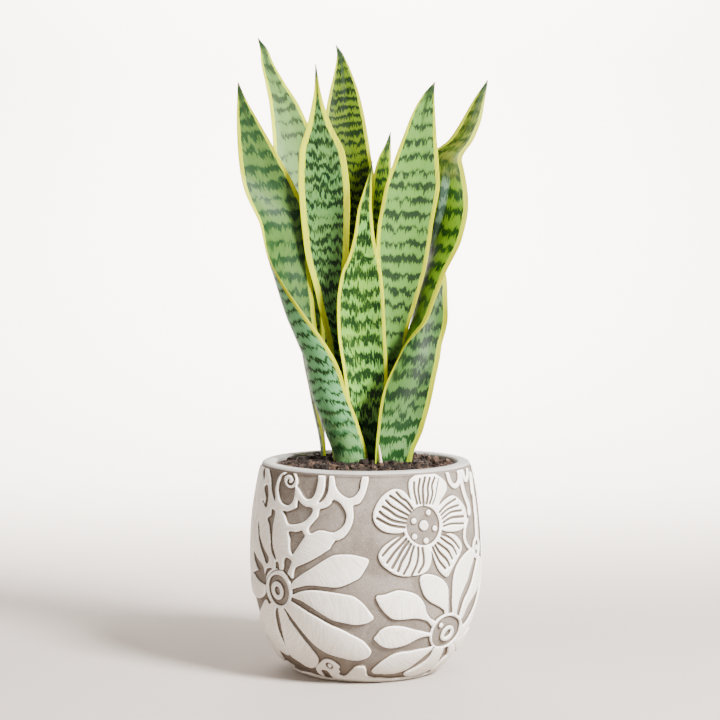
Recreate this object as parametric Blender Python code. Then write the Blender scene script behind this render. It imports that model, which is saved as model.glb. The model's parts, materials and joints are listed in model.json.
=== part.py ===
"""Potted snake plant: a relief-cast bowl pot, potting mix, a creeping rootstock, eight sword leaves,
a young shoot and loose bark chips, all built at real size.

Units are metres and +Z is up. The origin is on the pot's axis at the plane it stands on, and the
plant's broad view is from -Y.
"""

import math
from dataclasses import dataclass

import bmesh
import bpy
from mathutils import Matrix, Vector

# Driving dimensions, each written once.
PLANT_HEIGHT = 0.4700  # tallest leaf tip above the table
POT_HEIGHT = 0.1545
RIM_RADIUS = 0.076  # outside of the mouth
BELLY_RADIUS = 0.0845
BELLY_HEIGHT = 0.082
FOOT_RADIUS = 0.043  # flat resting face
POT_WALL = 0.009
POT_FLOOR = 0.012
LIP_ROUND = 0.003
SHOULDER_POWER = 2.2  # how late the wall turns in towards the mouth
DRAIN_RADIUS = 0.0045
DRAIN_COUNT = 3
SOIL_DROP = 0.0035  # potting mix at the wall, below the rim
SOIL_CROWN = 0.0025  # rise of the mix towards the middle
LEAF_WIDTH = 0.048  # flat width of a full-grown leaf
LEAF_THICKNESS = 0.0032
ROOT_DEPTH = 0.015  # leaf bases below the top of the mix
ROOTSTOCK_RADIUS = 0.0062
ROOT_RADIUS = 0.0017
ROOT_COUNT = 7
SHOOT_HEIGHT = 0.0145
SHOOT_RADIUS = 0.0014
CHIP_SHARE = 0.58  # bark chip's length, as a share of the room between leaves and wall
CHIP_COUNT = 11
FIT_GAP = 0.0003  # left between pieces that rest in or on each other

# Sizes that follow from those above.
SOIL_EDGE = POT_HEIGHT - SOIL_DROP
SOIL_TOP = SOIL_EDGE + SOIL_CROWN
MOUTH_RADIUS = RIM_RADIUS - POT_WALL
LEAF_BOTTOM = SOIL_TOP - ROOT_DEPTH
ROOTSTOCK_LEVEL = LEAF_BOTTOM - FIT_GAP - ROOTSTOCK_RADIUS
DRAIN_RING = 0.48 * FOOT_RADIUS
CLUSTER_RADIUS = 0.98 * LEAF_WIDTH  # reach of the leaf bases from the pot's axis
CHIP_LENGTH = CHIP_SHARE * (MOUTH_RADIUS - CLUSTER_RADIUS)

# Mesh fineness.
ROUND_STEPS = 60
BOWL_STEPS = 9
SHOULDER_STEPS = 6
LIP_STEPS = 3
LEAF_RINGS = 24
LEAF_STRIPS = 8


@dataclass(frozen=True)
class Station:
    """A leaf's cross-section. up is the share of the leaf's reach; x, y and half are in leaf widths.

    turn rotates the section about the vertical, and curl is the arc it bends through, in degrees.
    """

    up: float
    x: float
    y: float
    half: float
    turn: float
    curl: float


@dataclass(frozen=True)
class LeafPlan:
    """One leaf: its reach as a share of the tallest leaf's, and its stations from base to tip."""

    name: str
    reach: float
    stations: tuple[Station, ...]


@dataclass(frozen=True)
class Finish:
    """Colour, roughness and metallic of one material."""

    colour: tuple[float, float, float]
    roughness: float
    metallic: float = 0.0


LEAVES = (
    LeafPlan(
        name="leaf_front_left",
        reach=0.871,
        stations=(
            Station(0.00, -0.27, -0.31, 0.328, 165, 120),
            Station(0.10, -0.46, -0.33, 0.378, 156, 125),
            Station(0.19, -0.70, -0.35, 0.438, 138, 140),
            Station(0.27, -0.87, -0.35, 0.521, 114, 158),
            Station(0.34, -1.06, -0.31, 0.562, 95, 175),
            Station(0.40, -1.19, -0.25, 0.562, 79, 165),
            Station(0.47, -1.27, -0.17, 0.531, 62, 140),
            Station(0.55, -1.32, -0.10, 0.500, 46, 105),
            Station(0.62, -1.29, -0.08, 0.485, 34, 75),
            Station(0.72, -1.47, -0.10, 0.428, 18, 50),
            Station(0.81, -1.63, -0.19, 0.313, 10, 40),
            Station(0.90, -1.78, -0.31, 0.169, 8, 30),
            Station(0.962, -1.87, -0.42, 0.060, 5, 20),
            Station(1.000, -1.91, -0.50, 0.007, 5, 10),
        ),
    ),
    LeafPlan(
        name="leaf_tall_back_left",
        reach=1.000,
        stations=(
            Station(0.00, -0.68, 0.48, 0.229, 90, 60),
            Station(0.14, -0.83, 0.56, 0.281, 84, 80),
            Station(0.23, -0.92, 0.62, 0.333, 68, 100),
            Station(0.35, -0.98, 0.71, 0.354, 45, 95),
            Station(0.49, -1.02, 0.83, 0.375, 22, 75),
            Station(0.61, -1.07, 1.00, 0.387, 12, 60),
            Station(0.73, -1.13, 1.19, 0.348, 6, 50),
            Station(0.83, -1.28, 1.35, 0.248, 3, 45),
            Station(0.89, -1.44, 1.46, 0.157, 0, 35),
            Station(0.94, -1.57, 1.56, 0.097, 0, 30),
            Station(0.970, -1.62, 1.62, 0.062, 0, 20),
            Station(1.000, -1.72, 1.69, 0.008, 0, 10),
        ),
    ),
    LeafPlan(
        name="leaf_centre_left",
        reach=0.910,
        stations=(
            Station(0.00, -0.27, 0.27, 0.203, 0, 130),
            Station(0.15, -0.31, 0.23, 0.225, -5, 120),
            Station(0.30, -0.38, 0.17, 0.228, -5, 100),
            Station(0.41, -0.52, 0.08, 0.239, -5, 75),
            Station(0.54, -0.59, -0.02, 0.352, -5, 55),
            Station(0.69, -0.63, -0.19, 0.395, -3, 45),
            Station(0.78, -0.66, -0.29, 0.353, 0, 40),
            Station(0.85, -0.70, -0.40, 0.189, 0, 30),
            Station(0.90, -0.72, -0.48, 0.097, 0, 25),
            Station(0.942, -0.73, -0.54, 0.043, 0, 20),
            Station(1.000, -0.75, -0.62, 0.006, 0, 10),
        ),
    ),
    LeafPlan(
        name="leaf_short_front",
        reach=0.693,
        stations=(
            Station(0.00, 0.00, 0.08, 0.240, 8, 115),
            Station(0.14, -0.00, 0.04, 0.300, 8, 100),
            Station(0.29, -0.02, 0.00, 0.363, 6, 80),
            Station(0.43, -0.07, -0.08, 0.382, 4, 60),
            Station(0.54, -0.08, -0.17, 0.368, 0, 50),
            Station(0.63, -0.07, -0.25, 0.314, 0, 45),
            Station(0.69, -0.04, -0.31, 0.227, 0, 40),
            Station(0.76, -0.03, -0.40, 0.154, 0, 35),
            Station(0.84, -0.02, -0.48, 0.108, 0, 30),
            Station(0.90, 0.02, -0.56, 0.065, 0, 25),
            Station(0.955, 0.06, -0.62, 0.024, 0, 20),
            Station(1.000, 0.09, -0.69, 0.006, 0, 10),
        ),
    ),
    LeafPlan(
        name="leaf_right",
        reach=0.894,
        stations=(
            Station(0.00, 0.36, -0.21, 0.347, 20, 110),
            Station(0.09, 0.46, -0.17, 0.435, 22, 100),
            Station(0.19, 0.56, -0.06, 0.493, 28, 100),
            Station(0.29, 0.70, 0.08, 0.500, 44, 110),
            Station(0.37, 0.805, 0.13, 0.545, 60, 172),
            Station(0.43, 0.845, 0.25, 0.540, 70, 164),
            Station(0.50, 0.98, 0.38, 0.510, 90, 135),
            Station(0.58, 1.10, 0.48, 0.490, 118, 95),
            Station(0.68, 1.16, 0.62, 0.448, 148, 60),
            Station(0.78, 1.17, 0.79, 0.333, 165, 50),
            Station(0.84, 1.49, 0.92, 0.201, 172, 40),
            Station(0.89, 1.65, 1.02, 0.159, 176, 30),
            Station(0.946, 1.78, 1.12, 0.092, 178, 20),
            Station(1.000, 1.92, 1.23, 0.008, 180, 10),
        ),
    ),
    LeafPlan(
        name="leaf_centre_right",
        reach=0.873,
        stations=(
            Station(0.00, 0.45, 0.38, 0.172, 0, 125),
            Station(0.10, 0.44, 0.35, 0.175, 0, 115),
            Station(0.23, 0.42, 0.29, 0.176, 0, 100),
            Station(0.34, 0.43, 0.17, 0.228, 0, 85),
            Station(0.43, 0.48, 0.08, 0.321, 0, 75),
            Station(0.52, 0.54, 0.02, 0.397, 0, 60),
            Station(0.62, 0.59, -0.04, 0.432, 0, 50),
            Station(0.71, 0.68, -0.10, 0.430, 0, 45),
            Station(0.79, 0.75, -0.17, 0.351, 0, 40),
            Station(0.86, 0.81, -0.23, 0.256, 0, 35),
            Station(0.93, 0.88, -0.29, 0.159, 0, 28),
            Station(0.972, 0.95, -0.33, 0.075, 0, 20),
            Station(1.000, 1.03, -0.35, 0.006, 0, 10),
        ),
    ),
    LeafPlan(
        name="leaf_tall_back",
        reach=0.978,
        stations=(
            Station(0.00, -0.17, 0.65, 0.173, 0, 125),
            Station(0.09, -0.22, 0.65, 0.270, 0, 115),
            Station(0.23, -0.31, 0.65, 0.400, 0, 100),
            Station(0.38, -0.32, 0.65, 0.420, 0, 80),
            Station(0.52, -0.28, 0.69, 0.415, 0, 60),
            Station(0.65, -0.27, 0.79, 0.427, 0, 50),
            Station(0.74, -0.31, 0.92, 0.385, 0, 45),
            Station(0.83, -0.33, 1.02, 0.308, 0, 40),
            Station(0.88, -0.34, 1.10, 0.239, 0, 35),
            Station(0.93, -0.36, 1.17, 0.143, 0, 30),
            Station(0.973, -0.40, 1.25, 0.057, 0, 20),
            Station(1.000, -0.47, 1.29, 0.006, 0, 10),
        ),
    ),
    LeafPlan(
        name="leaf_small_back",
        reach=0.766,
        stations=(
            Station(0.00, 0.14, 0.50, 0.110, 0, 110),
            Station(0.21, 0.17, 0.44, 0.138, 0, 90),
            Station(0.43, 0.19, 0.40, 0.161, 0, 70),
            Station(0.61, 0.22, 0.40, 0.175, 0, 50),
            Station(0.76, 0.23, 0.42, 0.168, 0, 40),
            Station(0.86, 0.25, 0.46, 0.140, 0, 30),
            Station(0.92, 0.29, 0.50, 0.099, 0, 25),
            Station(0.960, 0.34, 0.54, 0.046, 0, 20),
            Station(1.000, 0.38, 0.58, 0.006, 0, 10),
        ),
    ),
)

FINISHES = {
    "pot": Finish((0.62, 0.56, 0.50), 0.78),
    "soil": Finish((0.075, 0.048, 0.035), 0.95),
    "rootstock": Finish((0.62, 0.44, 0.27), 0.70),
    "leaf_front_left": Finish((0.33, 0.46, 0.28), 0.42),
    "leaf_tall_back_left": Finish((0.36, 0.45, 0.32), 0.45),
    "leaf_centre_left": Finish((0.24, 0.40, 0.27), 0.40),
    "leaf_short_front": Finish((0.26, 0.42, 0.14), 0.38),
    "leaf_right": Finish((0.25, 0.35, 0.20), 0.42),
    "leaf_centre_right": Finish((0.37, 0.50, 0.31), 0.42),
    "leaf_tall_back": Finish((0.27, 0.37, 0.19), 0.45),
    "leaf_small_back": Finish((0.25, 0.38, 0.20), 0.45),
    "young_shoot": Finish((0.83, 0.62, 0.54), 0.50),
    "bark": Finish((0.20, 0.125, 0.085), 0.90),
}

# Which leaf bases, and the shoot, the creeping rootstock runs between.
RUNNERS = (
    ("leaf_tall_back_left", "leaf_centre_left"),
    ("leaf_centre_left", "leaf_front_left"),
    ("leaf_centre_left", "leaf_short_front"),
    ("leaf_short_front", "leaf_small_back"),
    ("leaf_small_back", "leaf_tall_back"),
    ("leaf_small_back", "leaf_centre_right"),
    ("leaf_short_front", "leaf_right"),
    ("leaf_right", "young_shoot"),
)
SHOOT_PLACE = (0.26, -0.47)  # in leaf widths
SHOOT_LEAN = (-0.07, 0.02)


def clear_scene() -> None:
    """Removes the start-up objects."""
    for item in list(bpy.data.objects):
        bpy.data.objects.remove(item, do_unlink=True)


def principled(name: str, finish: Finish) -> bpy.types.Material:
    """Makes a material with one Principled shader."""
    material = bpy.data.materials.new(name)
    material.use_nodes = True
    shader = material.node_tree.nodes["Principled BSDF"]
    shader.inputs["Base Color"].default_value = (*finish.colour, 1.0)
    shader.inputs["Roughness"].default_value = finish.roughness
    shader.inputs["Metallic"].default_value = finish.metallic
    material.diffuse_color = (*finish.colour, 1.0)
    return material


def solid(name: str, points: list, faces: list, smooth: bool = True) -> bpy.types.Object:
    """Makes a closed mesh object whose faces point outwards."""
    mesh = bpy.data.meshes.new(name)
    mesh.from_pydata([tuple(p) for p in points], [], faces)
    build = bmesh.new()
    build.from_mesh(mesh)
    bmesh.ops.recalc_face_normals(build, faces=build.faces)
    if build.calc_volume(signed=True) < 0:
        bmesh.ops.reverse_faces(build, faces=build.faces)
    build.to_mesh(mesh)
    build.free()
    for face in mesh.polygons:
        face.use_smooth = smooth
    item = bpy.data.objects.new(name, mesh)
    bpy.context.scene.collection.objects.link(item)
    return item


def turned(name: str, profile: list, steps: int) -> bpy.types.Object:
    """Turns a profile of (radius, height) about Z. Its first and last points lie on the axis."""
    points = [(0.0, 0.0, profile[0][1])]
    for radius, height in profile[1:-1]:
        for k in range(steps):
            angle = 2.0 * math.pi * k / steps
            points.append((radius * math.cos(angle), radius * math.sin(angle), height))
    points.append((0.0, 0.0, profile[-1][1]))
    last = len(points) - 1
    rings = len(profile) - 2
    faces = []
    for k in range(steps):
        j = (k + 1) % steps
        faces.append((0, 1 + j, 1 + k))
        for ring in range(rings - 1):
            low = 1 + ring * steps
            high = low + steps
            faces.append((low + k, low + j, high + j, high + k))
        top = 1 + (rings - 1) * steps
        faces.append((top + k, top + j, last))
    return solid(name, points, faces)


def tube(name: str, path: list, radii: list, sides: int) -> bpy.types.Object:
    """Sweeps a round section along a path, with a flat end at each end."""
    points = []
    for k, place in enumerate(path):
        before = path[max(k - 1, 0)]
        after = path[min(k + 1, len(path) - 1)]
        along = (after - before).normalized()
        spare = Vector((1.0, 0.0, 0.0)) if abs(along.x) < 0.8 else Vector((0.0, 1.0, 0.0))
        side = along.cross(spare).normalized()
        other = along.cross(side)
        for s in range(sides):
            angle = 2.0 * math.pi * s / sides
            points.append(place + radii[k] * (math.cos(angle) * side + math.sin(angle) * other))
    faces = [tuple(range(sides))]
    for k in range(len(path) - 1):
        low = k * sides
        for s in range(sides):
            t = (s + 1) % sides
            faces.append((low + s, low + t, low + sides + t, low + sides + s))
    end = (len(path) - 1) * sides
    faces.append(tuple(end + s for s in range(sides)))
    return solid(name, points, faces)


def with_boolean(item: bpy.types.Object, others: list, operation: str) -> None:
    """Joins the others to an object, or cuts them from it, and then removes them."""
    for other in others:
        modifier = item.modifiers.new(other.name, "BOOLEAN")
        modifier.solver = "EXACT"
        modifier.operation = operation
        modifier.object = other
    graph = bpy.context.evaluated_depsgraph_get()
    result = bpy.data.meshes.new_from_object(item.evaluated_get(graph))
    item.modifiers.clear()
    item.data = result
    for other in others:
        bpy.data.objects.remove(other, do_unlink=True)


def outer_profile() -> list:
    """The pot's outside from the foot to below the lip, as (radius, height)."""
    profile = []
    for k in range(BOWL_STEPS + 1):
        angle = 0.5 * math.pi * k / BOWL_STEPS
        radius = FOOT_RADIUS + (BELLY_RADIUS - FOOT_RADIUS) * math.sin(angle)
        profile.append((radius, BELLY_HEIGHT * (1.0 - math.cos(angle))))
    for k in range(1, SHOULDER_STEPS + 1):
        height = BELLY_HEIGHT + (POT_HEIGHT - LIP_ROUND - BELLY_HEIGHT) * k / SHOULDER_STEPS
        profile.append((shoulder_radius(height), height))
    return profile


def shoulder_radius(height: float) -> float:
    """Outside radius of the pot above its belly."""
    share = (height - BELLY_HEIGHT) / (POT_HEIGHT - BELLY_HEIGHT)
    return BELLY_RADIUS - (BELLY_RADIUS - RIM_RADIUS) * share**SHOULDER_POWER


def inner_profile(top: float) -> list:
    """The pot's inside from the floor's edge up to a height, as (radius, height)."""
    foot = FOOT_RADIUS - 0.5 * POT_WALL
    belly = BELLY_RADIUS - POT_WALL
    profile = []
    for k in range(BOWL_STEPS + 1):
        angle = 0.5 * math.pi * k / BOWL_STEPS
        height = POT_FLOOR + (BELLY_HEIGHT - POT_FLOOR) * (1.0 - math.cos(angle))
        profile.append((foot + (belly - foot) * math.sin(angle), height))
    for k in range(1, SHOULDER_STEPS + 1):
        height = BELLY_HEIGHT + (top - BELLY_HEIGHT) * k / SHOULDER_STEPS
        profile.append((shoulder_radius(height) - POT_WALL, height))
    return profile


def make_pot() -> bpy.types.Object:
    """The bowl-shaped pot, with a rounded lip and drain holes around the middle of its floor."""
    profile = [(0.0, 0.0)] + outer_profile()
    for k in range(1, LIP_STEPS + 1):
        angle = 0.5 * math.pi * k / LIP_STEPS
        radius = RIM_RADIUS - LIP_ROUND * (1.0 - math.cos(angle))
        profile.append((radius, POT_HEIGHT - LIP_ROUND * (1.0 - math.sin(angle))))
    for k in range(LIP_STEPS):
        angle = 0.5 * math.pi * (1.0 - k / LIP_STEPS)
        radius = MOUTH_RADIUS + LIP_ROUND * (1.0 - math.cos(angle))
        profile.append((radius, POT_HEIGHT - LIP_ROUND * (1.0 - math.sin(angle))))
    profile += reversed(inner_profile(POT_HEIGHT - LIP_ROUND))
    profile.append((0.0, POT_FLOOR))
    pot = turned("pot", profile, ROUND_STEPS)
    holes = []
    for k in range(DRAIN_COUNT):
        angle = 2.0 * math.pi * (k + 0.25) / DRAIN_COUNT
        x = DRAIN_RING * math.cos(angle)
        y = DRAIN_RING * math.sin(angle)
        path = [Vector((x, y, -0.5 * POT_FLOOR)), Vector((x, y, 1.5 * POT_FLOOR))]
        holes.append(tube(f"drain_cutter_{k + 1}", path, [DRAIN_RADIUS] * 2, 24))
    with_boolean(pot, holes, "DIFFERENCE")
    return pot


def soil_height(radius: float) -> float:
    """Top of the potting mix at a distance from the pot's axis."""
    return SOIL_EDGE + SOIL_CROWN * (1.0 - (radius / MOUTH_RADIUS) ** 2)


def make_soil(pockets: list) -> bpy.types.Object:
    """The potting mix: it fills the bowl, is domed on top, and has a pocket around each buried piece."""
    profile = [(0.0, POT_FLOOR + FIT_GAP)]
    for radius, height in inner_profile(SOIL_EDGE):
        low = min(height + FIT_GAP, SOIL_EDGE)
        profile.append((radius - FIT_GAP, low))
    for share in (0.85, 0.65, 0.45, 0.25):
        radius = share * MOUTH_RADIUS
        profile.append((radius, soil_height(radius)))
    profile.append((0.0, SOIL_TOP))
    soil = turned("soil", profile, ROUND_STEPS)
    with_boolean(soil, pockets, "DIFFERENCE")
    return soil


def blended(stations: tuple, up: float) -> Station:
    """Reads a leaf's section at any height, with a smooth curve through its stations."""
    k = 0
    while k < len(stations) - 2 and stations[k + 1].up < up:
        k += 1
    names = ("x", "y", "half", "turn", "curl")
    span = stations[k + 1].up - stations[k].up
    t = min(max((up - stations[k].up) / span, 0.0), 1.0)
    values = []
    for name in names:
        low = getattr(stations[k], name)
        high = getattr(stations[k + 1], name)
        start = slope_at(stations, k, name) * span
        end = slope_at(stations, k + 1, name) * span
        rise = t * t * (3.0 - 2.0 * t)
        ease_in = t * (1.0 - t) ** 2
        ease_out = t * t * (1.0 - t)
        values.append(low + (high - low) * rise + start * ease_in - end * ease_out)
    return Station(up, *values)


def slope_at(stations: tuple, k: int, name: str) -> float:
    """Slope of one value at a station, flat where the value turns back, so nothing overshoots."""
    if k == 0 or k == len(stations) - 1:
        return 0.0 if k == 0 else step_slope(stations, k - 1, name)
    below = step_slope(stations, k - 1, name)
    above = step_slope(stations, k, name)
    if below * above <= 0.0:
        return 0.0
    return 2.0 * below * above / (below + above)


def step_slope(stations: tuple, k: int, name: str) -> float:
    """Slope of one value between a station and the next."""
    rise = getattr(stations[k + 1], name) - getattr(stations[k], name)
    return rise / (stations[k + 1].up - stations[k].up)


def leaf_ring(station: Station, height: float, grow: float) -> list:
    """The closed outline of a leaf's section: its inner face from edge to edge, then its outer face."""
    turn = math.radians(station.turn)
    across = Vector((math.cos(turn), math.sin(turn), 0.0))
    inward = Vector((math.sin(turn), -math.cos(turn), 0.0))
    centre = Vector((station.x * LEAF_WIDTH, station.y * LEAF_WIDTH, height))
    half = station.half * LEAF_WIDTH
    bend = 2.0 * half / math.radians(station.curl)
    thick = LEAF_THICKNESS * min(1.0, 0.15 + 2.4 * station.half)
    inner = []
    outer = []
    for k in range(LEAF_STRIPS + 1):
        u = 2.0 * k / LEAF_STRIPS - 1.0
        angle = u * (half + grow) / bend
        middle = centre + bend * (math.sin(angle) * across + (1.0 - math.cos(angle)) * inward)
        normal = math.cos(angle) * inward - math.sin(angle) * across
        reach = 0.5 * thick * (1.0 - 0.65 * u * u) + grow
        inner.append(middle + reach * normal)
        outer.append(middle - reach * normal)
    return inner + outer[::-1]


def make_leaf(plan: LeafPlan, name: str, grow: float = 0.0, top: float = 1.0) -> bpy.types.Object:
    """A sword leaf from its buried base to its tip. grow makes a slightly larger copy for its pocket."""
    reach = plan.reach * (PLANT_HEIGHT - SOIL_TOP)
    rings = [leaf_ring(plan.stations[0], LEAF_BOTTOM - grow, grow)]
    count = max(3, round(LEAF_RINGS * top))
    for k in range(count + 1):
        up = top * k / count
        rings.append(leaf_ring(blended(plan.stations, up), SOIL_TOP + up * reach, grow))
    around = len(rings[0])
    points = [p for ring in rings for p in ring]
    faces = []
    for k in range(LEAF_STRIPS):
        j = around - 1 - k
        faces.append((k, k + 1, j - 1, j))
        end = (len(rings) - 1) * around
        faces.append((end + k, end + k + 1, end + j - 1, end + j))
    for k in range(len(rings) - 1):
        low = k * around
        for s in range(around):
            t = (s + 1) % around
            faces.append((low + s, low + t, low + around + t, low + around + s))
    return solid(name, points, faces)


def shoot_path() -> list:
    """Middle line of the young shoot from its buried end to its tip."""
    base = Vector((SHOOT_PLACE[0] * LEAF_WIDTH, SHOOT_PLACE[1] * LEAF_WIDTH, 0.0))
    lean = Vector((SHOOT_LEAN[0] * LEAF_WIDTH, SHOOT_LEAN[1] * LEAF_WIDTH, 0.0))
    path = [base + Vector((0.0, 0.0, LEAF_BOTTOM)), base + Vector((0.0, 0.0, SOIL_TOP))]
    for share in (0.4, 0.75, 0.93, 1.0):
        rise = Vector((0.0, 0.0, SOIL_TOP + share * SHOOT_HEIGHT))
        path.append(base + share * share * lean + rise)
    return path


def make_shoot(name: str, grow: float = 0.0) -> bpy.types.Object:
    """The pointed young shoot, or a slightly larger copy for its pocket."""
    path = shoot_path()
    path[0] = path[0] - Vector((0.0, 0.0, grow))
    radii = [SHOOT_RADIUS * share + grow for share in (1.0, 1.0, 0.9, 0.65, 0.35, 0.12)]
    return tube(name, path, radii, 12)


def crown_places() -> dict:
    """Middle of the rootstock under each leaf base and under the shoot."""
    places = {}
    for plan in LEAVES:
        first = plan.stations[0]
        places[plan.name] = Vector((first.x * LEAF_WIDTH, first.y * LEAF_WIDTH, ROOTSTOCK_LEVEL))
    shoot = shoot_path()[0]
    places["young_shoot"] = Vector((shoot.x, shoot.y, ROOTSTOCK_LEVEL))
    return places


def ball(name: str, centre: Vector, radius: float) -> bpy.types.Object:
    """A round swelling of the rootstock."""
    profile = [(0.0, -radius)]
    for k in range(1, 8):
        angle = math.pi * k / 8
        profile.append((radius * math.sin(angle), -radius * math.cos(angle)))
    profile.append((0.0, radius))
    item = turned(name, profile, 12)
    item.data.transform(Matrix.Translation(centre))
    return item


def make_rootstock(name: str, grow: float = 0.0) -> bpy.types.Object:
    """The creeping rootstock that joins the leaf bases, with roots running down and outwards."""
    places = crown_places()
    pieces = []
    for key, centre in places.items():
        pieces.append(ball(f"{name}_{key}", centre, ROOTSTOCK_RADIUS + grow))
    for first, second in RUNNERS:
        path = [places[first], places[second]]
        radii = [0.72 * ROOTSTOCK_RADIUS + grow] * 2
        pieces.append(tube(f"{name}_{first}_{second}", path, radii, 10))
    starts = list(places.values())
    depth = ROOTSTOCK_LEVEL - POT_FLOOR
    for k in range(ROOT_COUNT):
        start = starts[k]
        angle = math.atan2(start.y, start.x) + 0.5 * math.sin(2.1 * k)
        path = []
        radii = []
        for step in range(6):
            share = step / 5
            out = 0.55 * FOOT_RADIUS * math.sin(0.5 * math.pi * share)
            drop = depth * (0.62 + 0.06 * (k % 3)) * share
            place = start + Vector((out * math.cos(angle), out * math.sin(angle), -drop))
            path.append(place)
            radii.append(ROOT_RADIUS * (1.0 - 0.6 * share) + grow)
        if grow:
            path[-1] = path[-1] - Vector((0.0, 0.0, grow))
        pieces.append(tube(f"{name}_root_{k + 1}", path, radii, 6))
    rootstock = pieces[0]
    rootstock.name = name
    with_boolean(rootstock, pieces[1:], "UNION")
    return rootstock


def make_chip(number: int) -> bpy.types.Object:
    """A flat splinter of bark lying on the potting mix near the wall."""
    spread = 2.0 * math.pi * (number + 0.3 * math.sin(2.4 * number)) / CHIP_COUNT
    length = CHIP_LENGTH * (0.85 + 0.25 * math.sin(1.7 * number + 0.4))
    width = length * (0.48 + 0.08 * math.sin(3.1 * number))
    thick = length * (0.26 + 0.06 * math.sin(4.3 * number + 1.0))
    ring = MOUTH_RADIUS - 0.5 * length - 0.12 * CHIP_LENGTH
    spin = spread + 0.5 * math.pi + 0.5 * math.sin(5.0 * number)
    floor = soil_height(ring - 0.5 * length) + FIT_GAP
    along = Vector((math.cos(spin), math.sin(spin), 0.0))
    side = Vector((-math.sin(spin), math.cos(spin), 0.0))
    middle = Vector((ring * math.cos(spread), ring * math.sin(spread), floor))
    build = bmesh.new()
    for k in range(12):
        angle = 2.0 * math.pi * k / 12
        ragged = 0.42 + 0.08 * math.sin(3.0 * angle + 1.9 * number)
        flat = ragged * (length * math.cos(angle) * along + width * math.sin(angle) * side)
        tilt = 0.8 + 0.2 * math.sin(angle + number)
        build.verts.new(middle + flat)
        build.verts.new(middle + 0.86 * flat + Vector((0.0, 0.0, thick * tilt)))
    result = bmesh.ops.convex_hull(build, input=build.verts)
    inside = [v for v in result["geom_interior"] if isinstance(v, bmesh.types.BMVert)]
    bmesh.ops.delete(build, geom=inside, context="VERTS")
    mesh = bpy.data.meshes.new("chip")
    build.to_mesh(mesh)
    build.free()
    points = [v.co.copy() for v in mesh.vertices]
    faces = [tuple(face.vertices) for face in mesh.polygons]
    bpy.data.meshes.remove(mesh)
    return solid(f"bark_chip_{number + 1:02d}", points, faces, smooth=False)


def main() -> None:
    """Builds every piece and gives each its material."""
    clear_scene()
    materials = {name: principled(name, finish) for name, finish in FINISHES.items()}
    pot = make_pot()
    pot.data.materials.append(materials["pot"])
    rootstock = make_rootstock("rootstock")
    rootstock.data.materials.append(materials["rootstock"])
    pockets = [make_rootstock("rootstock_pocket", FIT_GAP)]
    for plan in LEAVES:
        leaf = make_leaf(plan, plan.name)
        leaf.data.materials.append(materials[plan.name])
        pockets.append(make_leaf(plan, f"{plan.name}_pocket", FIT_GAP, 0.08))
    shoot = make_shoot("young_shoot")
    shoot.data.materials.append(materials["young_shoot"])
    pockets.append(make_shoot("young_shoot_pocket", FIT_GAP))
    soil = make_soil(pockets)
    soil.data.materials.append(materials["soil"])
    for number in range(CHIP_COUNT):
        chip = make_chip(number)
        chip.data.materials.append(materials["bark"])


main()
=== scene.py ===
"""Looks of a potted snake plant: a relief-cast pot, its bark mix and eight banded leaves."""

import json
import logging
import math
from dataclasses import dataclass, field
from enum import Enum
from typing import Any, Sequence

import bmesh
import bpy
import numpy as np
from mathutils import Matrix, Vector, geometry, noise

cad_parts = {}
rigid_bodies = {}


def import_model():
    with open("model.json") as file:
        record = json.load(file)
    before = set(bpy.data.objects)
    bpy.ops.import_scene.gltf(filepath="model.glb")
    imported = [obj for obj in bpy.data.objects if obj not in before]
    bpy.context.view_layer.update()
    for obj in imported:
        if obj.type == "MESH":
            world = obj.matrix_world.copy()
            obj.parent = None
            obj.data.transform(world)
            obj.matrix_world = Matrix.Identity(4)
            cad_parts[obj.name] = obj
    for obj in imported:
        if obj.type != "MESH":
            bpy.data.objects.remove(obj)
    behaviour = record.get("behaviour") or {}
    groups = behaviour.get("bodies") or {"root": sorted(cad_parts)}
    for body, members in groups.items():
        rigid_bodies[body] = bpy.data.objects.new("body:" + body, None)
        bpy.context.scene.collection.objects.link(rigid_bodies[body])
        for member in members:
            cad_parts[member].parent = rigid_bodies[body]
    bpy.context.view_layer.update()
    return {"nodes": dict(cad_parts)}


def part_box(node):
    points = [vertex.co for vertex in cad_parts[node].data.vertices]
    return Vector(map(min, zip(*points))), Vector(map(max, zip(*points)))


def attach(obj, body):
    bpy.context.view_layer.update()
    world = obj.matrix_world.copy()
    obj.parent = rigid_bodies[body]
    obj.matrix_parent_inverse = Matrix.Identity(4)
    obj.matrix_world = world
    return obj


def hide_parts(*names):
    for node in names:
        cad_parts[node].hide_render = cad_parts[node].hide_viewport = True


LOG = logging.getLogger("snake_plant")
MILLI = 0.001
LEAF_WIDTH = 48.0
RGB = tuple[float, float, float]
Pairs = Sequence[tuple[float, float]]


class Cutting(Enum):
    """Whether a motif of the relief stands up from the wall or is cut into it."""

    RAISED = "raised"
    SUNK = "sunk"


class Drawing(Enum):
    """How the points of a motif are read."""

    OUTLINE = "outline"
    STROKE = "stroke"
    DISC = "disc"


class Zone(Enum):
    """Part of the pot that a vertex belongs to, as stored on the mesh."""

    WALL = 0.0
    LIP = 1.0
    INSIDE = 2.0
    UNDERSIDE = 3.0


# ---------------------------------------------------------------------------
# Shader maths
# ---------------------------------------------------------------------------


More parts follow.
